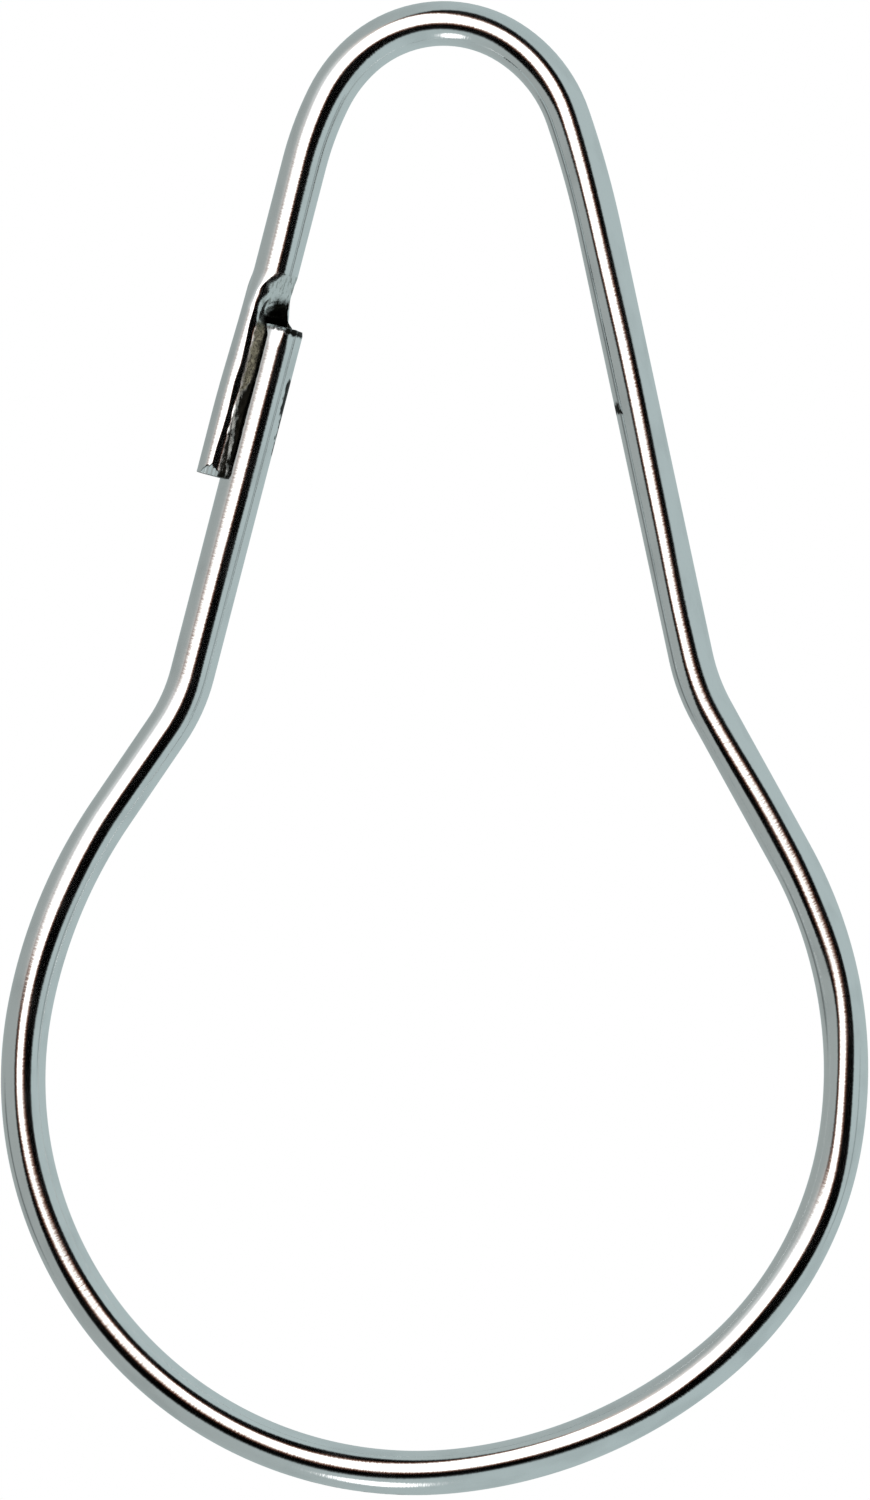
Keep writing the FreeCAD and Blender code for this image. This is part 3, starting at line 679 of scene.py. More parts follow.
class Value:
    """A shader socket that can stand in Python arithmetic: each operator adds a Math node."""

    def __init__(self, graph: "Graph", socket: bpy.types.NodeSocket) -> None:
        """Wrap a socket of a graph."""
        self.graph = graph
        self.socket = socket

    def math(self, operation: str, *others: "Value | float", first: bool = True) -> "Value":
        """Math node of this value and others.

        Args:
            operation: Name of the Math node's operation.
            others: The other inputs.
            first: Whether this value is the first input.

        Returns:
            The node's result.
        """
        order = [self, *others] if first else [*others, self]
        return self.graph.add("ShaderNodeMath", {"operation": operation}, dict(enumerate(order)))

    def __add__(self, other: "Value | float") -> "Value":
        """Sum."""
        return self.math("ADD", other)

    __radd__ = __add__

    def __sub__(self, other: "Value | float") -> "Value":
        """Difference."""
        return self.math("SUBTRACT", other)

    def __rsub__(self, other: "Value | float") -> "Value":
        """Difference, with this value taken away."""
        return self.math("SUBTRACT", other, first=False)

    def __mul__(self, other: "Value | float") -> "Value":
        """Product."""
        return self.math("MULTIPLY", other)

    __rmul__ = __mul__

    def above(self, low: float, high: float) -> "Value":
        """Smooth step of this value from 0 at low to 1 at high."""
        limits = {"Value": self, "From Min": low, "From Max": high}
        return self.graph.add("ShaderNodeMapRange", {"interpolation_type": "SMOOTHSTEP"}, limits)


class Graph:
    """Node tree that is being filled."""

    def __init__(self, tree: bpy.types.NodeTree) -> None:
        """Empty a node tree and hold it."""
        tree.nodes.clear()
        self.tree = tree

    def add(self, kind: str, settings: dict, inputs: dict, output: int | str = 0) -> Value:
        """Add a node.

        Args:
            kind: The node's type.
            settings: Its own settings. A ramp's stops are given as "stops".
            inputs: Values or links for its sockets, by name or number.
            output: Which output to give back.

        Returns:
            That output, ready for arithmetic.
        """
        node = self.tree.nodes.new(kind)
        for name, value in settings.items():
            if name == "stops":
                self.set_stops(node.color_ramp, value)
            else:
                setattr(node, name, value)
        for name, value in inputs.items():
            if isinstance(value, Value):
                self.tree.links.new(value.socket, node.inputs[name])
            else:
                node.inputs[name].default_value = value
        return Value(self, node.outputs[output] if node.outputs else None)

    def set_stops(self, ramp: bpy.types.ColorRamp, stops: list[tuple[float, tuple]]) -> None:
        """Give a colour ramp its stops.

        Args:
            ramp: The ramp.
            stops: A place and a colour for each stop.
        """
        while len(ramp.elements) < len(stops):
            ramp.elements.new(1.0)
        while len(ramp.elements) > len(stops):
            ramp.elements.remove(ramp.elements[-1])
        for element, (place, colour) in zip(ramp.elements, stops):
            element.position = place
            element.color = (*colour, 1.0)

    def mix(self, factor: Value | float, first: Value | tuple, second: Value | tuple) -> Value:
        """Colour between two others by a factor."""
        first, second = (c if isinstance(c, Value) else (*c, 1.0) for c in (first, second))
        return self.add("ShaderNodeMix", {"data_type": "RGBA"}, {0: factor, 6: first, 7: second}, 2)

    def noise(self, where: Value, scale: Triple, detail: float = 2.0) -> Value:
        """Noise value at a place, with its own scale along each axis."""
        place = self.add("ShaderNodeMapping", {}, {"Vector": where, "Scale": scale})
        return self.add("ShaderNodeTexNoise", {}, {"Vector": place, "Scale": 1.0, "Detail": detail})

    def attribute(self, name: str, output: str = "Vector") -> Value:
        """Attribute of the surface."""
        return self.add("ShaderNodeAttribute", {"attribute_name": name}, {}, output)

    def axis(self, where: Value, letter: str) -> Value:
        """One coordinate of a place."""
        return self.add("ShaderNodeSeparateXYZ", {}, {"Vector": where}, letter)

    def shade(self, inputs: dict) -> None:
        """Principled shader with these inputs, put out as the surface."""
        shader = self.add("ShaderNodeBsdfPrincipled", {}, inputs)
        self.add("ShaderNodeOutputMaterial", {}, {"Surface": shader})


def new_mesh(name: str, points: Array, faces: list[list[int]]) -> bpy.types.Mesh:
    """Mesh of points in millimetres, kept in metres.

    Args:
        name: The mesh's name.
        points: Places of the points, in any grid.
        faces: Numbers of each face's points.

    Returns:
        The mesh.
    """
    mesh = bpy.data.meshes.new(name)
    mesh.from_pydata((points.reshape(-1, 3) * MM).tolist(), [], faces)
    return mesh


def link(name: str, data: bpy.types.ID) -> bpy.types.Object:
    """Put data into the scene as an object at the origin.

    Args:
        name: The object's name.
        data: Its mesh, camera or light.

    Returns:
        The object.
    """
    piece = bpy.data.objects.new(name, data)
    bpy.context.scene.collection.objects.link(piece)
    return piece


def ring_quads(rings: int, count: int) -> Array:
    """Quads between neighbouring rings, the last point of a ring joined to its first.

    Args:
        rings: Number of rings.
        count: Number of points in a ring.

    Returns:
        Four point numbers for each quad, the first one on the ring that it starts from.
    """
    ring, point = np.meshgrid(np.arange(rings - 1), np.arange(count), indexing="ij")
    here, following = ring * count + point, ring * count + (point + 1) % count
    return np.stack([here, here + count, following + count, following], axis=-1).reshape(-1, 4)


def new_material(name: str) -> tuple[bpy.types.Material, Graph]:
    """Material with an empty node tree.

    Args:
        name: The material's name.

    Returns:
        The material and its graph.
    """
    material = bpy.data.materials.new(name)
    material.use_nodes = True
    return material, Graph(material.node_tree)


@dataclass(frozen=True)
class Finish:
    """Metal finish, whose kinds each work out their own colour, roughness and relief."""

    name: str
    roughness: float
    bump_strength: float
    bump_depth: float

    def parts(self, graph: Graph) -> tuple[Value, Value, Value]:
        """Colour, roughness and relief of the finish."""
        raise NotImplementedError

    def make(self) -> bpy.types.Material:
        """Build the finish.

        Returns:
            The material.
        """
        material, graph = new_material(self.name)
        colour, rough, relief = self.parts(graph)
        size = {"Strength": self.bump_strength, "Distance": self.bump_depth * MM}
        bump = graph.add("ShaderNodeBump", {}, {**size, "Height": relief})
        graph.shade({"Base Color": colour, "Metallic": 1.0, "Roughness": rough, "Normal": bump})
        return material


@dataclass(frozen=True)
class BrightPlate(Finish):
    """Bright nickel-chrome plate on drawn wire, with fine lines along the wire.

    Painted shade marks are dark reflections and shade painted near-black onto the plate. Each is given as
    side, spread, edge, start and end: which side of the wire it is on, how far noise moves its edge, how far
    across it begins, and its distances from the catch's start.
    """

    name: str = "bright_plate"
    colour: Triple = (0.93, 0.94, 0.94)
    dull_colour: Triple = (0.84, 0.85, 0.85)
    # Painted shade: near-black marks that stand in for dark reflections and shade on the plate.
    painted_shade_colour: Triple = (0.014, 0.013, 0.011)
    painted_shade_marks: tuple[tuple[float, float, float, float, float], ...] = (
        (1.0, 0.2, 0.93, -157.7, -156.1),
        (1.0, 0.2, 1.03, -156.6, -154.2),
        (1.0, 0.5, 0.42, -161.0, -159.8),
        (1.0, 0.3, 0.9, -35.4, -34.9),
        (-1.0, 0.15, 1.04, -101.0, -95.5),
        (0.0, 1.0, 0.3, -161.0, -159.85),
    )
    shade_mark_edge: float = 0.05
    shade_mark_wander: float = 0.4
    roughness: float = 0.07
    dull_roughness: float = 0.05
    line_roughness: float = 0.03
    shade_mark_roughness: float = 0.4
    line_scale: Triple = (9.0, 9.0, 0.35)
    cloud_scale: Triple = (0.9, 0.9, 0.45)
    wave_scale: Triple = (1.2, 1.2, 3.4)
    shade_edge_noise_scale: Triple = (6.0, 6.0, 3.0)
    jitter_scale: Triple = (3.0, 3.0, 9.0)
    line_share: float = 0.35
    jitter_share: float = 1.2
    bump_strength: float = 0.05
    bump_depth: float = 0.05

    def parts(self, graph: Graph) -> tuple[Value, Value, Value]:
        """Clouded plate with lines and jitter in its relief, and painted shade marks, dark reflections and
        shade, on its front.

        Args:
            graph: Node tree to build in.

        Returns:
            The colour, the roughness and the relief.
        """
        unbent = graph.attribute("unbent")
        across, depth, along = (graph.axis(unbent, letter) for letter in "XYZ")
        lines = graph.noise(unbent, self.line_scale, 3.0)
        cloud = graph.noise(unbent, self.cloud_scale, 3.0)
        waves = graph.noise(unbent, self.wave_scale, 2.0)
        shade_edge_noise = graph.noise(unbent, self.shade_edge_noise_scale, 4.0)
        jitter = graph.noise(unbent, self.jitter_scale, 2.0)
        # Painted shade marks: dark reflections and shade painted near-black on the wire's front.
        wandering = along + shade_edge_noise * self.shade_mark_wander
        painted_shade_marks = [
            (1.0 - depth.above(0.2, 0.5))
            * (across * side + shade_edge_noise * spread).above(edge, edge + self.shade_mark_edge)
            * wandering.above(start - 0.1, start + 0.1)
            * (1.0 - wandering.above(end - 0.15, end + 0.15))
            for side, spread, edge, start, end in self.painted_shade_marks
        ]
        painted_shade = sum(painted_shade_marks[1:], painted_shade_marks[0]).above(0.0, 1.0)
        colour = graph.mix(cloud.above(0.45, 0.75), self.colour, self.dull_colour)
        colour = graph.mix(painted_shade, colour, self.painted_shade_colour)
        rough = self.roughness + self.dull_roughness * cloud.above(0.4, 0.8)
        rough = rough + self.line_roughness * lines.above(0.5, 0.8) + self.shade_mark_roughness * painted_shade
        return colour, rough, lines * self.line_share + waves + jitter * self.jitter_share


@dataclass(frozen=True)
class PressedPlate(Finish):
    """Plate that the press has marked: streaked in the scoop, rubbed brown on the land, with painted shade
    near-black below and a painted highlight along the burr.
    """

    name: str = "pressed_plate"
    colour: Triple = (0.86, 0.87, 0.86)
    streak: Triple = (0.52, 0.53, 0.51)
    rubbed: Triple = (0.3, 0.285, 0.21)
    rubbed_dark: Triple = (0.11, 0.1, 0.075)
    # Grey of the lower land, seen only through the burr's painted highlight and the light wear scrapes.
    worn_and_highlight: Triple = (0.4, 0.41, 0.39)
    # Near-black colour of the painted shade, also used for dark speckles of wear on the rubbed land.
    shade_and_speckle_colour: Triple = (0.014, 0.013, 0.01)
    roughness: float = 0.13
    rubbed_roughness: float = 0.5
    streak_roughness: float = 0.1
    mottle_scale: Triple = (5.0, 5.0, 3.2)
    grit_scale: Triple = (16.0, 16.0, 12.0)
    streak_scale: Triple = (9.0, 2.0, 2.5)
    scrape_scale: Triple = (7.0, 7.0, 1.6)
    burr_lean: float = 0.11
    burr_side: float = 0.83
    bump_strength: float = 0.35
    bump_depth: float = 0.02

    def parts(self, graph: Graph) -> tuple[Value, Value, Value]:
        """Marks of the press, painted shade and a painted highlight on the burr, each a mask over across and
        down with an uneven edge.

        Args:
            graph: Node tree to build in.

        Returns:
            The colour, the roughness and the relief.
        """
        unbent = graph.attribute("unbent")
        across, down = graph.axis(unbent, "X"), graph.axis(unbent, "Z")
        mottle = graph.noise(unbent, self.mottle_scale, 4.0)
        grit = graph.noise(unbent, self.grit_scale, 3.0)
        speckle = mottle * 0.5 + grit * 0.5
        streaks = graph.noise(unbent, self.streak_scale, 4.0).above(0.48, 0.66)
        scrapes = graph.noise(unbent, self.scrape_scale, 3.0) * 0.6 + grit * 0.4

        on_land = (across + mottle * 0.3).above(-0.2, 0.0) * (down + mottle * 0.5).above(2.3, 2.8)
        land_end = (down + across * 2.0 + mottle * 0.8).above(5.6, 6.1)
        rubbed, lower_land = on_land * (1.0 - land_end), on_land * land_end
        # Painted shade: the scoop's bottom is painted near-black.
        hollow = (down + streaks * 0.2 + grit * 0.3).above(0.95, 1.7)
        hollow = hollow * (across + grit * 0.2 + down.above(1.6, 2.1) * 0.3).above(0.15, 0.5)
        hollow = hollow * (1.0 - down.above(2.35, 2.6))
        # Painted shade along the land's right part, beside the lower wire.
        edge_shade = (across + speckle * 0.3).above(0.2, 0.4) * on_land
        # Painted highlight: a lighter line along the burr, with light wear scrapes, lifts the lower land's
        # painted shade.
        from_burr = across - down * self.burr_lean + self.burr_side + mottle * 0.14
        burr = from_burr.above(-0.1, -0.02) * (1.0 - from_burr.above(0.04, 0.13))
        ridge_highlight_and_scrapes = burr * scrapes.above(0.34, 0.5) + scrapes.above(0.52, 0.7) * 0.8
        # Near-black mask: painted shade over the scoop's bottom, the land's edge and the lower land, plus
        # dark speckles of wear on the rubbed land.
        shade_and_speckle = hollow + edge_shade + lower_land * (1.0 - ridge_highlight_and_scrapes)
        shade_and_speckle = shade_and_speckle + (1.0 - speckle.above(0.36, 0.42)) * rubbed

        colour = graph.mix(streaks, self.colour, self.streak)
        colour = graph.mix(lower_land, colour, self.worn_and_highlight)
        brown = graph.mix(grit.above(0.42, 0.6), self.rubbed, self.rubbed_dark)
        colour = graph.mix(rubbed, colour, brown)
        colour = graph.mix(shade_and_speckle.above(0.0, 1.0), colour, self.shade_and_speckle_colour)
        rough = self.roughness + (self.rubbed_roughness - self.roughness) * on_land
        return colour, rough + self.streak_roughness * streaks, speckle


@dataclass(frozen=True)
class ShearedSteel(Finish):
    """Bare steel where the wire was sheared: grey, torn and uneven."""

    name: str = "sheared_steel"
    colour: Triple = (0.42, 0.43, 0.42)
    torn: Triple = (0.06, 0.058, 0.052)
    roughness: float = 0.38
    torn_roughness: float = 0.2
    grain_scale: Triple = (6500.0, 6500.0, 6500.0)
    tear_scale: Triple = (2600.0, 2600.0, 2600.0)
    bump_strength: float = 0.7
    bump_depth: float = 0.04

    def parts(self, graph: Graph) -> tuple[Value, Value, Value]:
        """Grain and tears, with torn patches darker and rougher.

        Args:
            graph: Node tree to build in.

        Returns:
            The colour, the roughness and the relief.
        """
        where = graph.add("ShaderNodeTexCoord", {}, {}, "Object")
        grain = graph.noise(where, self.grain_scale, 4.0)
        tears = graph.noise(where, self.tear_scale, 2.0)
        patches = (grain * 0.5 + tears * 0.5).above(0.46, 0.56)
        colour = graph.mix(patches, self.colour, self.torn)
        return colour, self.roughness + self.torn_roughness * patches, grain + tears


class Slot(Enum):
    """Finishes of the ring, in the order of its mesh's materials."""

    BRIGHT = 0
    PRESSED = 1
    SHEARED = 2


@dataclass
class RingWire:
    """The whole ring: one surface carried from the cut end round the ring to the catch's end.

    The skew says how far bending has turned the front of the section, as pairs of the distance
    from the cut end and degrees.
    """

    points_round: int = 176
    straight_spacing: float = 0.9
    bend_spacing: float = 0.36
    chamfer: float = 0.12
    slack: float = 0.002
    face_radii: tuple[float, ...] = (0.04, 0.3, 0.55, 0.75)
    face_drop: float = 0.02
    pressed_from: float = -0.3
    ring: RingSizes = field(default_factory=RingSizes)
    catch: CatchSizes = field(default_factory=CatchSizes)
    skew: Pairs = (
        (0.0, -0.5), (7.0, -1.5), (11.0, -3.5), (19.0, -4.5), (23.0, -7.0), (27.0, -4.0), (31.0, -6.0),
        (36.0, -3.0), (47.0, 0.0), (53.0, 1.5), (58.0, 0.5), (67.5, 8.0), (75.0, 1.0), (81.0, 7.0),
        (87.5, -2.0), (92.0, 6.0), (97.0, -5.0), (101.0, 3.0), (105.0, -1.5), (110.0, 8.0), (112.5, 5.0),
        (115.0, 8.5), (120.0, 4.0), (126.0, 0.0), (134.0, 7.0), (138.0, 3.5), (143.0, -2.0),
        (147.0, -3.0), (151.0, -8.0), (156.0, -6.5), (160.0, -3.0),
    )

    def skewed(self, turn: Array, degrees: Array) -> Array:
        """Radius of a wire that bending has left a little out of round.

        The radius is 1 plus a share times the sine of twice the angle, which turns the front by
        the given angle out of the ring and leaves the sides where they are. Dividing by 1 plus
        twice the squared share, and the slack, keep the sides within the wire.

        Args:
            turn: Angles round the section.
            degrees: How far the front is turned.

        Returns:
            The radii.
        """
        share = -np.radians(degrees) / 2.0
        return (1.0 - self.slack) * (1.0 + share * np.sin(2.0 * turn)) / (1.0 + 2.0 * share**2)

    def turn(self) -> Array:
        """Angles of the points round a section, from the inward side towards the back."""
        return 2.0 * math.pi * np.arange(self.points_round) / self.points_round

    def circle(self) -> Array:
        """Points of a round section of radius 1."""
        return unit(self.turn())

    def place(self, outline: Array, places: Array, inward: Array) -> Array:
        """Put flat outlines at their places: across goes into the ring, depth away from the viewer."""
        across = places[:, None, :] + outline[..., :1] * inward[:, None, :]
        return np.stack([across[..., 0], outline[..., 1], across[..., 1]], axis=-1)

    def unbend(self, outline: Array, along: Array) -> Array:
        """Places on the wire as if it were straight: across, depth and the distance along it."""
        column = np.broadcast_to(along[:, None, None], (*outline.shape[:2], 1))
        return np.concatenate([outline, column], axis=-1)

    def cut_end_rings(self, places: Array, inward: Array) -> tuple[Array, Array]:
        """Rings that close the cut end: the broken edge and the sheared face inside it.

        The face's radius shrinks in steps to a point, and seeded ripples make it uneven.

        Args:
            places: Places along the centreline.
            inward: Unit vectors into the ring.

        Returns:
            The rings of points, and their unbent places.
        """
        radii = np.array([*self.face_radii, 1.0 - self.chamfer, 1.0 - 0.4 * self.chamfer])[:, None]
        depth = np.where(radii > 0.9, 0.45 * self.chamfer, 0.0)
        flat = radii[..., None] * self.circle()
        torn = ripples(flat[..., 0], flat[..., 1], (0.5, 0.6), 5) * self.face_drop
        drop = depth + np.where(radii < 0.9, self.face_drop + torn, 0.0)
        along = np.array([-inward[0, 1], inward[0, 0]])
        points = self.place(flat, places[:1], inward[:1])
        points[..., 0] += along[0] * drop
        points[..., 2] += along[1] * drop
        return points, np.concatenate([flat, drop[..., None]], axis=-1)

    def surface(self) -> tuple[Array, Array, int]:
        """Rings of the whole surface.

        Returns:
            The points, their unbent places, and the number of the first ring of the catch.
        """
        line = Centreline(self.ring)
        places, inward, along = line.stations(self.straight_spacing, self.bend_spacing)
        turn = self.turn()
        wire = self.circle() * self.skewed(turn, through(self.skew, along)[:, None])[..., None]
        end_points, end_unbent = self.cut_end_rings(places, inward)
        places[0] += (places[1] - places[0]) * self.chamfer / np.linalg.norm(places[1] - places[0])
        total = along[-1] + np.linalg.norm(line.catch_start - places[-1])
        end_unbent[..., 2] -= total

        catch = Catch(self.catch)
        down = catch.down[:, 0]
        outline = catch.section(self.points_round)
        left_over = self.skew[-1][1] * (1.0 - ease(down, 0.0, self.catch.swage_length))
        outline = outline * self.skewed(turn, left_over[:, None])[..., None]
        catch_places = line.catch_start + line.down_left_arm * down[:, None]
        catch_inward = np.broadcast_to(-line.left_out, catch_places.shape)
        points = [
            end_points, self.place(wire, places, inward), self.place(outline, catch_places, catch_inward),
        ]
        unbent = [end_unbent, self.unbend(wire, along - total), self.unbend(outline, down)]
        return np.concatenate(points), np.concatenate(unbent), len(end_points) + len(places)

    def build(self) -> bpy.types.Object:
        """Make the ring's mesh, its two ends closed by one face each, and give it its finishes.

        Returns:
            The finished object.
        """
        points, unbent, catch_ring = self.surface()
        rings, count = unbent.shape[:2]
        quads = ring_quads(rings, count)
        last_face = range(rings * count - 1, (rings - 1) * count - 1, -1)
        faces = [*quads.tolist(), list(range(count)), list(last_face)]
        mesh = new_mesh("ring_wire_plated", points, faces)
        mesh.validate()
        attribute = mesh.attributes.new("unbent", "FLOAT_VECTOR", "POINT")
        attribute.data.foreach_set("vector", unbent.astype(np.float32).reshape(-1))
        for finish in (BrightPlate(), PressedPlate(), ShearedSteel()):
            mesh.materials.append(finish.make())
        slots = self.slots(quads[:, 0], unbent, catch_ring)
        mesh.polygons.foreach_set("material_index", slots)
        mesh.polygons.foreach_set("use_smooth", np.ones(len(faces), bool))
        mesh.update()
        self.face_outwards(mesh)
        return link("ring_wire_plated", mesh)

    def slots(self, first_point: Array, unbent: Array, catch_ring: int) -> Array:
        """Finish of each face: sheared at both ends, pressed in the catch's groove, bright elsewhere.

        Args:
            first_point: Number of each quad's first point.
            unbent: Unbent places of the points.
            catch_ring: Number of the catch's first ring.

        Returns:
            The material number of each face.
        """
        count = self.points_round
        starts, round_ring = first_point // count, first_point % count
        across = unbent[:-1].reshape(-1, 3)[:, 0]
        pressed = (starts >= catch_ring) & (across > self.pressed_from) & (round_ring >= count // 2)
        chosen = np.where(pressed, Slot.PRESSED.value, Slot.BRIGHT.value)
        chosen[starts < len(self.face_radii)] = Slot.SHEARED.value
        return np.concatenate([chosen, [Slot.SHEARED.value] * 2]).astype(np.int32)

    def face_outwards(self, mesh: bpy.types.Mesh) -> None:
        """Flip every face if the closed surface's volume comes out negative.

        The volume is a sixth of the sum of each triangle's first corner times the cross product
        of the other two.

        Args:
            mesh: The closed mesh.
        """
        corners = np.zeros(len(mesh.vertices) * 3)
        mesh.vertices.foreach_get("co", corners)
        mesh.calc_loop_triangles()
        index = np.zeros(len(mesh.loop_triangles) * 3, np.int32)
        mesh.loop_triangles.foreach_get("vertices", index)
        first, second, third = corners.reshape(-1, 3)[index].reshape(-1, 3, 3).transpose(1, 0, 2)
        volume = np.einsum("ij,ij->i", first, np.cross(second, third)).sum() / 6.0
        LOG.info("volume of the ring %.1f cubic millimetres", volume / MM**3)
        if volume < 0.0:
            mesh.flip_normals()


@dataclass(frozen=True)
class SoftCard:
    """Card with a soft edge, curved round the ring like the wall of a light tent.

    Places on it are angles from the view's axis, to the right and up. Its outline is given by its
    reach from a centre along twelve evenly turned spokes, the first one to the right.
    """

    name: str
    centre: tuple[float, float]
    reach: tuple[float, ...]
    softness: float
    extra_softness: float = 0.0
    softest_at: float = 0.0
    stops: tuple[tuple[float, Triple], ...] = ((0.0, (0.0, 0.0, 0.0)),)
    strength: float = 1.0
    distance: float = 3000.0
    spokes: int = 144
    edge_rings: int = 33
    edge_reach: float = 6.0
    middle_rings: int = 12

    def outline(self, turn: Array) -> Array:
        """Reach at any angle: the wave sum through the twelve given spokes.

        Args:
            turn: Angles round the centre.

        Returns:
            The reach at each angle.
        """
        waves = np.fft.rfft(self.reach) / len(self.reach)
        waves[1:-1] *= 2.0
        orders = np.arange(len(waves))
        return (waves * np.exp(1j * orders * turn[:, None])).real.sum(axis=1)

    def near_softest(self, turn: Array) -> Array:
        """Share of the extra softness: the cosine from the softest spoke to the fourth power."""
        return np.clip(np.cos(turn - math.radians(self.softest_at)), 0.0, 1.0) ** 4

    def surface(self, middle: Array) -> tuple[Array, Array, Array]:
        """Rings of the card, how much each point covers and how warm its edge is.

        The cover falls from 1 to 0 across the outline, as one over one plus the exponential of
        the distance past it in units of the softness.

        Args:
            middle: The point that the card curves round.

        Returns:
            The points, their cover and their warmth.
        """
        turn = 2.0 * math.pi * np.arange(self.spokes) / self.spokes
        softness = self.softness + self.extra_softness * self.near_softest(turn)
        past = np.linspace(-self.edge_reach, self.edge_reach, self.edge_rings)[:, None]
        smallest = 0.1 * (past + self.edge_reach + 1.0)
        soft_edge = np.maximum(self.outline(turn) + past * softness, smallest)
        middle_part = np.linspace(0.02, 1.0, self.middle_rings)[:-1, None] * soft_edge[0]
        reach = np.concatenate([middle_part, soft_edge])
        across = np.radians(self.centre[0] + reach * np.cos(turn))
        height = np.radians(self.centre[1] + reach * np.sin(turn))
        angle = np.hypot(across, height)
        sideways = np.sin(angle) / angle
        toward = np.stack([across * sideways, -np.cos(angle), height * sideways], axis=-1)
        cover = np.ones(reach.shape)
        cover[len(middle_part):] = 1.0 / (1.0 + np.exp(past))
        warmth = np.broadcast_to(1.0 - self.near_softest(turn), cover.shape)
        return middle + toward * self.distance, cover, warmth

    def build(self, middle: Array) -> None:
        """Make the card, which only reflections show.

        Args:
            middle: The point that the card curves round.
        """
        points, cover, warmth = self.surface(middle)
        rings, count = cover.shape
        quads = ring_quads(rings, count)[:, [0, 3, 2, 1]]
        mesh = new_mesh(self.name, points, [*quads.tolist(), list(range(count))])
        for name, values in (("cover", cover), ("warmth", warmth)):
            attribute = mesh.attributes.new(name, "FLOAT", "POINT")
            attribute.data.foreach_set("value", values.astype(np.float32).reshape(-1))
        mesh.materials.append(self.make_light())
        piece = link(self.name, mesh)
        piece.visible_camera = piece.visible_diffuse = piece.visible_shadow = False

    def make_light(self) -> bpy.types.Material:
        """Build the card's material: its light, as clear as its cover is low.

        Returns:
            The material.
        """
        material, graph = new_material(self.name)
        cover = graph.attribute("cover", "Fac")
        glow = graph.add("ShaderNodeValToRGB", {"stops": list(self.stops)}, {"Fac": cover})
        glow = graph.mix(graph.attribute("warmth", "Fac"), self.stops[-1][1], glow)
        light = graph.add("ShaderNodeEmission", {}, {"Color": glow, "Strength": self.strength})
        clear = graph.add("ShaderNodeBsdfTransparent", {}, {})
        both = graph.add("ShaderNodeMixShader", {}, {0: cover, 1: clear, 2: light})
        graph.add("ShaderNodeOutputMaterial", {}, {"Surface": both})
        return material


WHITE = (1.0, 1.0, 1.0)
CARDS = (
    SoftCard(
        "black_backing", centre=(-1.0, -1.0), softness=1.3, extra_softness=0.5, softest_at=270.0,
        reach=(48.0, 52.0, 61.0, 68.0, 52.0, 58.0, 39.0, 51.0, 46.0, 37.0, 41.0, 59.0),
    ),
    SoftCard(
        "soft_box", centre=(-15.0, 14.0), softness=1.8, extra_softness=6.5, softest_at=150.0,
        reach=(33.0, 30.0, 32.0, 33.0, 27.0, 29.0, 25.0, 16.0, 19.0, 21.0, 23.0, 25.0),
        stops=(
            (0.0, (1.0, 0.30, 0.14)), (0.08, (1.0, 0.52, 0.36)), (0.3, (1.0, 0.80, 0.70)),
            (0.6, (1.0, 0.96, 0.92)), (1.0, WHITE),
        ),
        strength=1.9, distance=2900.0,
    ),
    SoftCard(
        "low_window", centre=(-6.0, -72.0), softness=1.2,
        reach=(8.0, 9.0, 11.0, 13.0, 11.0, 9.0, 8.0, 9.0, 11.0, 13.0, 11.0, 9.0),
        stops=((0.0, WHITE),), strength=1.6, distance=2800.0,
    ),
)


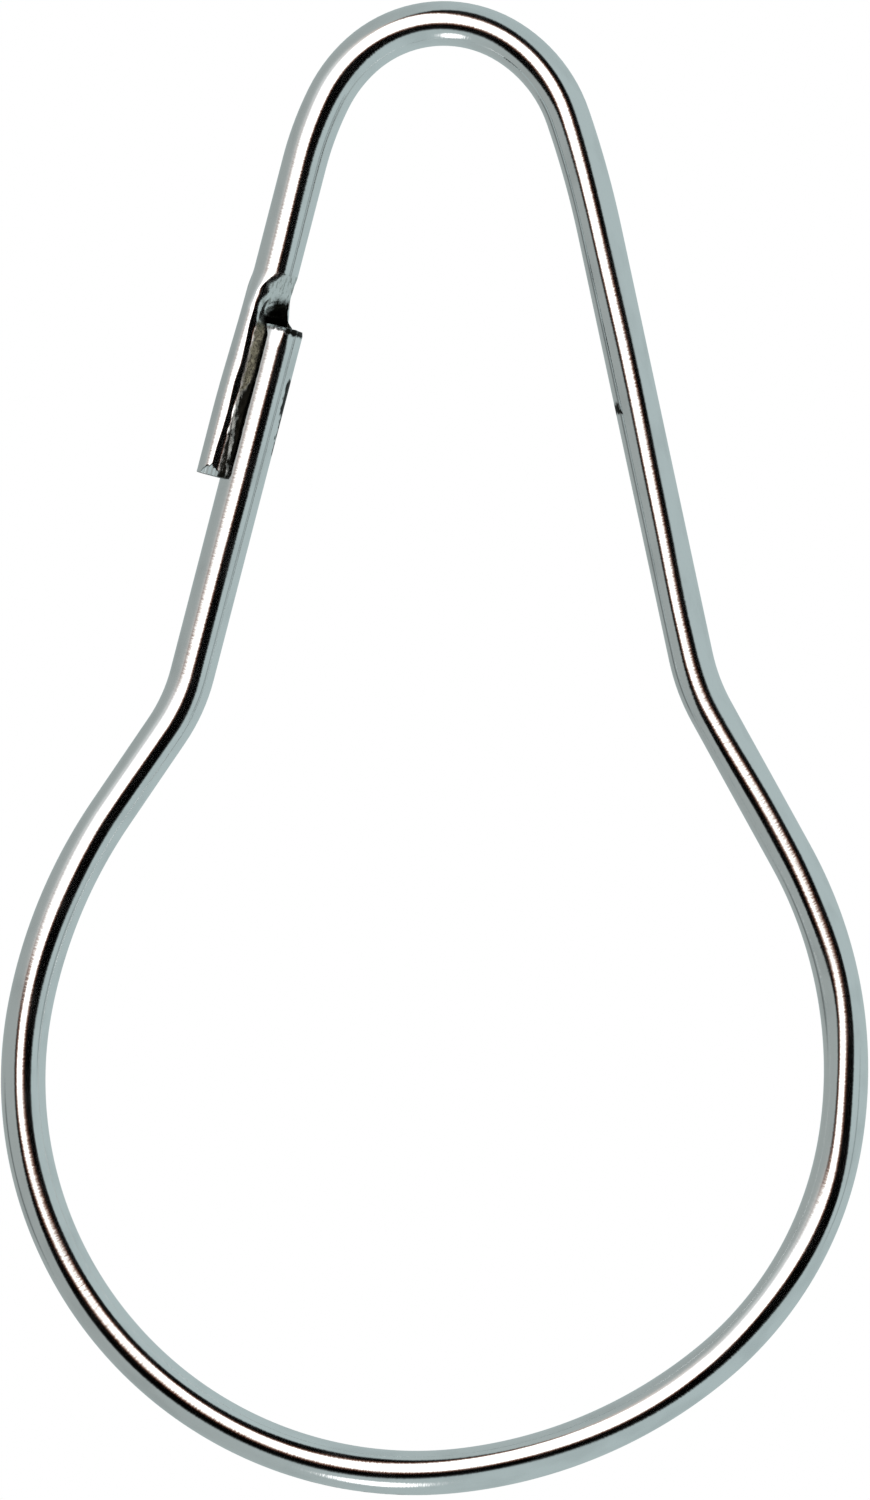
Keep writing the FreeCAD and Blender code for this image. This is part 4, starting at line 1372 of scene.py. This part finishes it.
@dataclass
class Studio:
    """Plain pale floor, soft studio light and the camera, square on to the ring.

    A seam of the tent is given as its place towards the back, its half width and its strength.
    """

    view_height: float = 67.26
    view_centre: tuple[float, float] = (-0.385, -31.58)
    lens: float = 270.0
    sensor: float = 36.0
    clip: tuple[float, float] = (0.01, 10.0)
    floor_depth: float = -82.0
    floor_half: float = 100.0
    floor_colours: tuple[Triple, Triple] = ((0.86, 0.86, 0.85), (0.9, 0.9, 0.89))
    floor_roughness: float = 0.8
    tent_left: Triple = (0.33, 0.365, 0.36)
    tent_right: Triple = (0.42, 0.50, 0.505)
    seams: tuple[Triple, ...] = ((-0.14, 0.1, 0.6), (0.29, 0.18, 1.0))
    seam_colour: Triple = (0.13, 0.15, 0.15)
    lamp_place: Triple = (0.0, -50.0, 300.0)
    lamp_size: float = 250.0
    lamp_energy: float = 0.6

    def build(self) -> None:
        """Set up camera, floor, light and the cards that the plate reflects."""
        self.add_camera()
        self.add_floor()
        self.add_world()
        self.add_lamp()
        across, height = self.view_centre
        for card in CARDS:
            card.build(np.array([across, 0.0, height]))
        bpy.context.scene.view_settings.view_transform = "Standard"

    def add_camera(self) -> None:
        """Camera square on to the ring, at the distance where its height fills the picture."""
        camera = bpy.data.cameras.new("camera")
        camera.lens = self.lens
        camera.sensor_width = self.sensor
        camera.clip_start, camera.clip_end = self.clip
        distance = self.view_height / 2.0 * self.lens / (self.sensor / 2.0)
        holder = link("camera", camera)
        across, height = self.view_centre
        holder.location = (across * MM, -distance * MM, height * MM)
        holder.rotation_euler = (math.radians(90.0), 0.0, 0.0)
        bpy.context.scene.camera = holder

    def add_floor(self) -> None:
        """Pale floor some way under the hanging ring."""
        half = self.floor_half
        corners = np.array([(-half, -half), (half, -half), (half, half), (-half, half)])
        points = np.column_stack([corners, np.full(len(corners), self.floor_depth)])
        floor = link("floor", new_mesh("floor", points, [[0, 1, 2, 3]]))
        material, graph = new_material("pale_floor")
        where = graph.add("ShaderNodeTexCoord", {}, {}, "Object")
        colour = graph.mix(graph.noise(where, (40.0, 40.0, 40.0)), *self.floor_colours)
        graph.shade({"Base Color": colour, "Roughness": self.floor_roughness})
        floor.data.materials.append(material)
        floor.visible_glossy = False

    def add_world(self) -> None:
        """White surroundings, which the plate reflects as a grey tent with soft dark seams low down."""
        world = bpy.data.worlds.new("surroundings")
        bpy.context.scene.world = world
        world.use_nodes = True
        graph = Graph(world.node_tree)
        toward = graph.add("ShaderNodeTexCoord", {}, {}, "Generated")
        across, away, height = (graph.axis(toward, letter) for letter in "XYZ")
        wall = graph.mix(across.above(-0.9, 0.4), self.tent_left, self.tent_right)
        low = height.above(-0.5, -0.38) * (1.0 - height.above(-0.12, 0.0))
        on_right = across.above(-0.05, 0.05)
        for seam, half_width, strength in self.seams:
            side = on_right if seam < 0.0 else 1.0 - on_right
            near = away.above(seam - half_width, seam) * (1.0 - away.above(seam, seam + half_width))
            wall = graph.mix(near * side * low * strength, wall, self.seam_colour)
        glossy = graph.add("ShaderNodeLightPath", {}, {}, "Is Glossy Ray")
        white = graph.add("ShaderNodeBackground", {}, {"Color": (*WHITE, 1.0)})
        tent = graph.add("ShaderNodeBackground", {}, {"Color": wall})
        both = graph.add("ShaderNodeMixShader", {}, {0: glossy, 1: white, 2: tent})
        graph.add("ShaderNodeOutputWorld", {}, {"Surface": both})

    def add_lamp(self) -> None:
        """Broad lamp overhead for the floor's soft shadow."""
        lamp = bpy.data.lights.new("overhead", "AREA")
        lamp.size = self.lamp_size * MM
        lamp.energy = self.lamp_energy
        holder = link("overhead", lamp)
        holder.location = np.array(self.lamp_place) * MM
        holder.visible_glossy = False


def main() -> None:
    """Build the studio and the ring."""
    logging.basicConfig(level=logging.INFO, format="%(name)s: %(message)s")
    Studio().build()
    LOG.info("studio ready")
    ring = RingWire().build()
    LOG.info("ring wire: %d points, %d faces", len(ring.data.vertices), len(ring.data.polygons))
    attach(ring, "root")
    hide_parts("ring_wire")


if __name__ == "__main__":
    main()
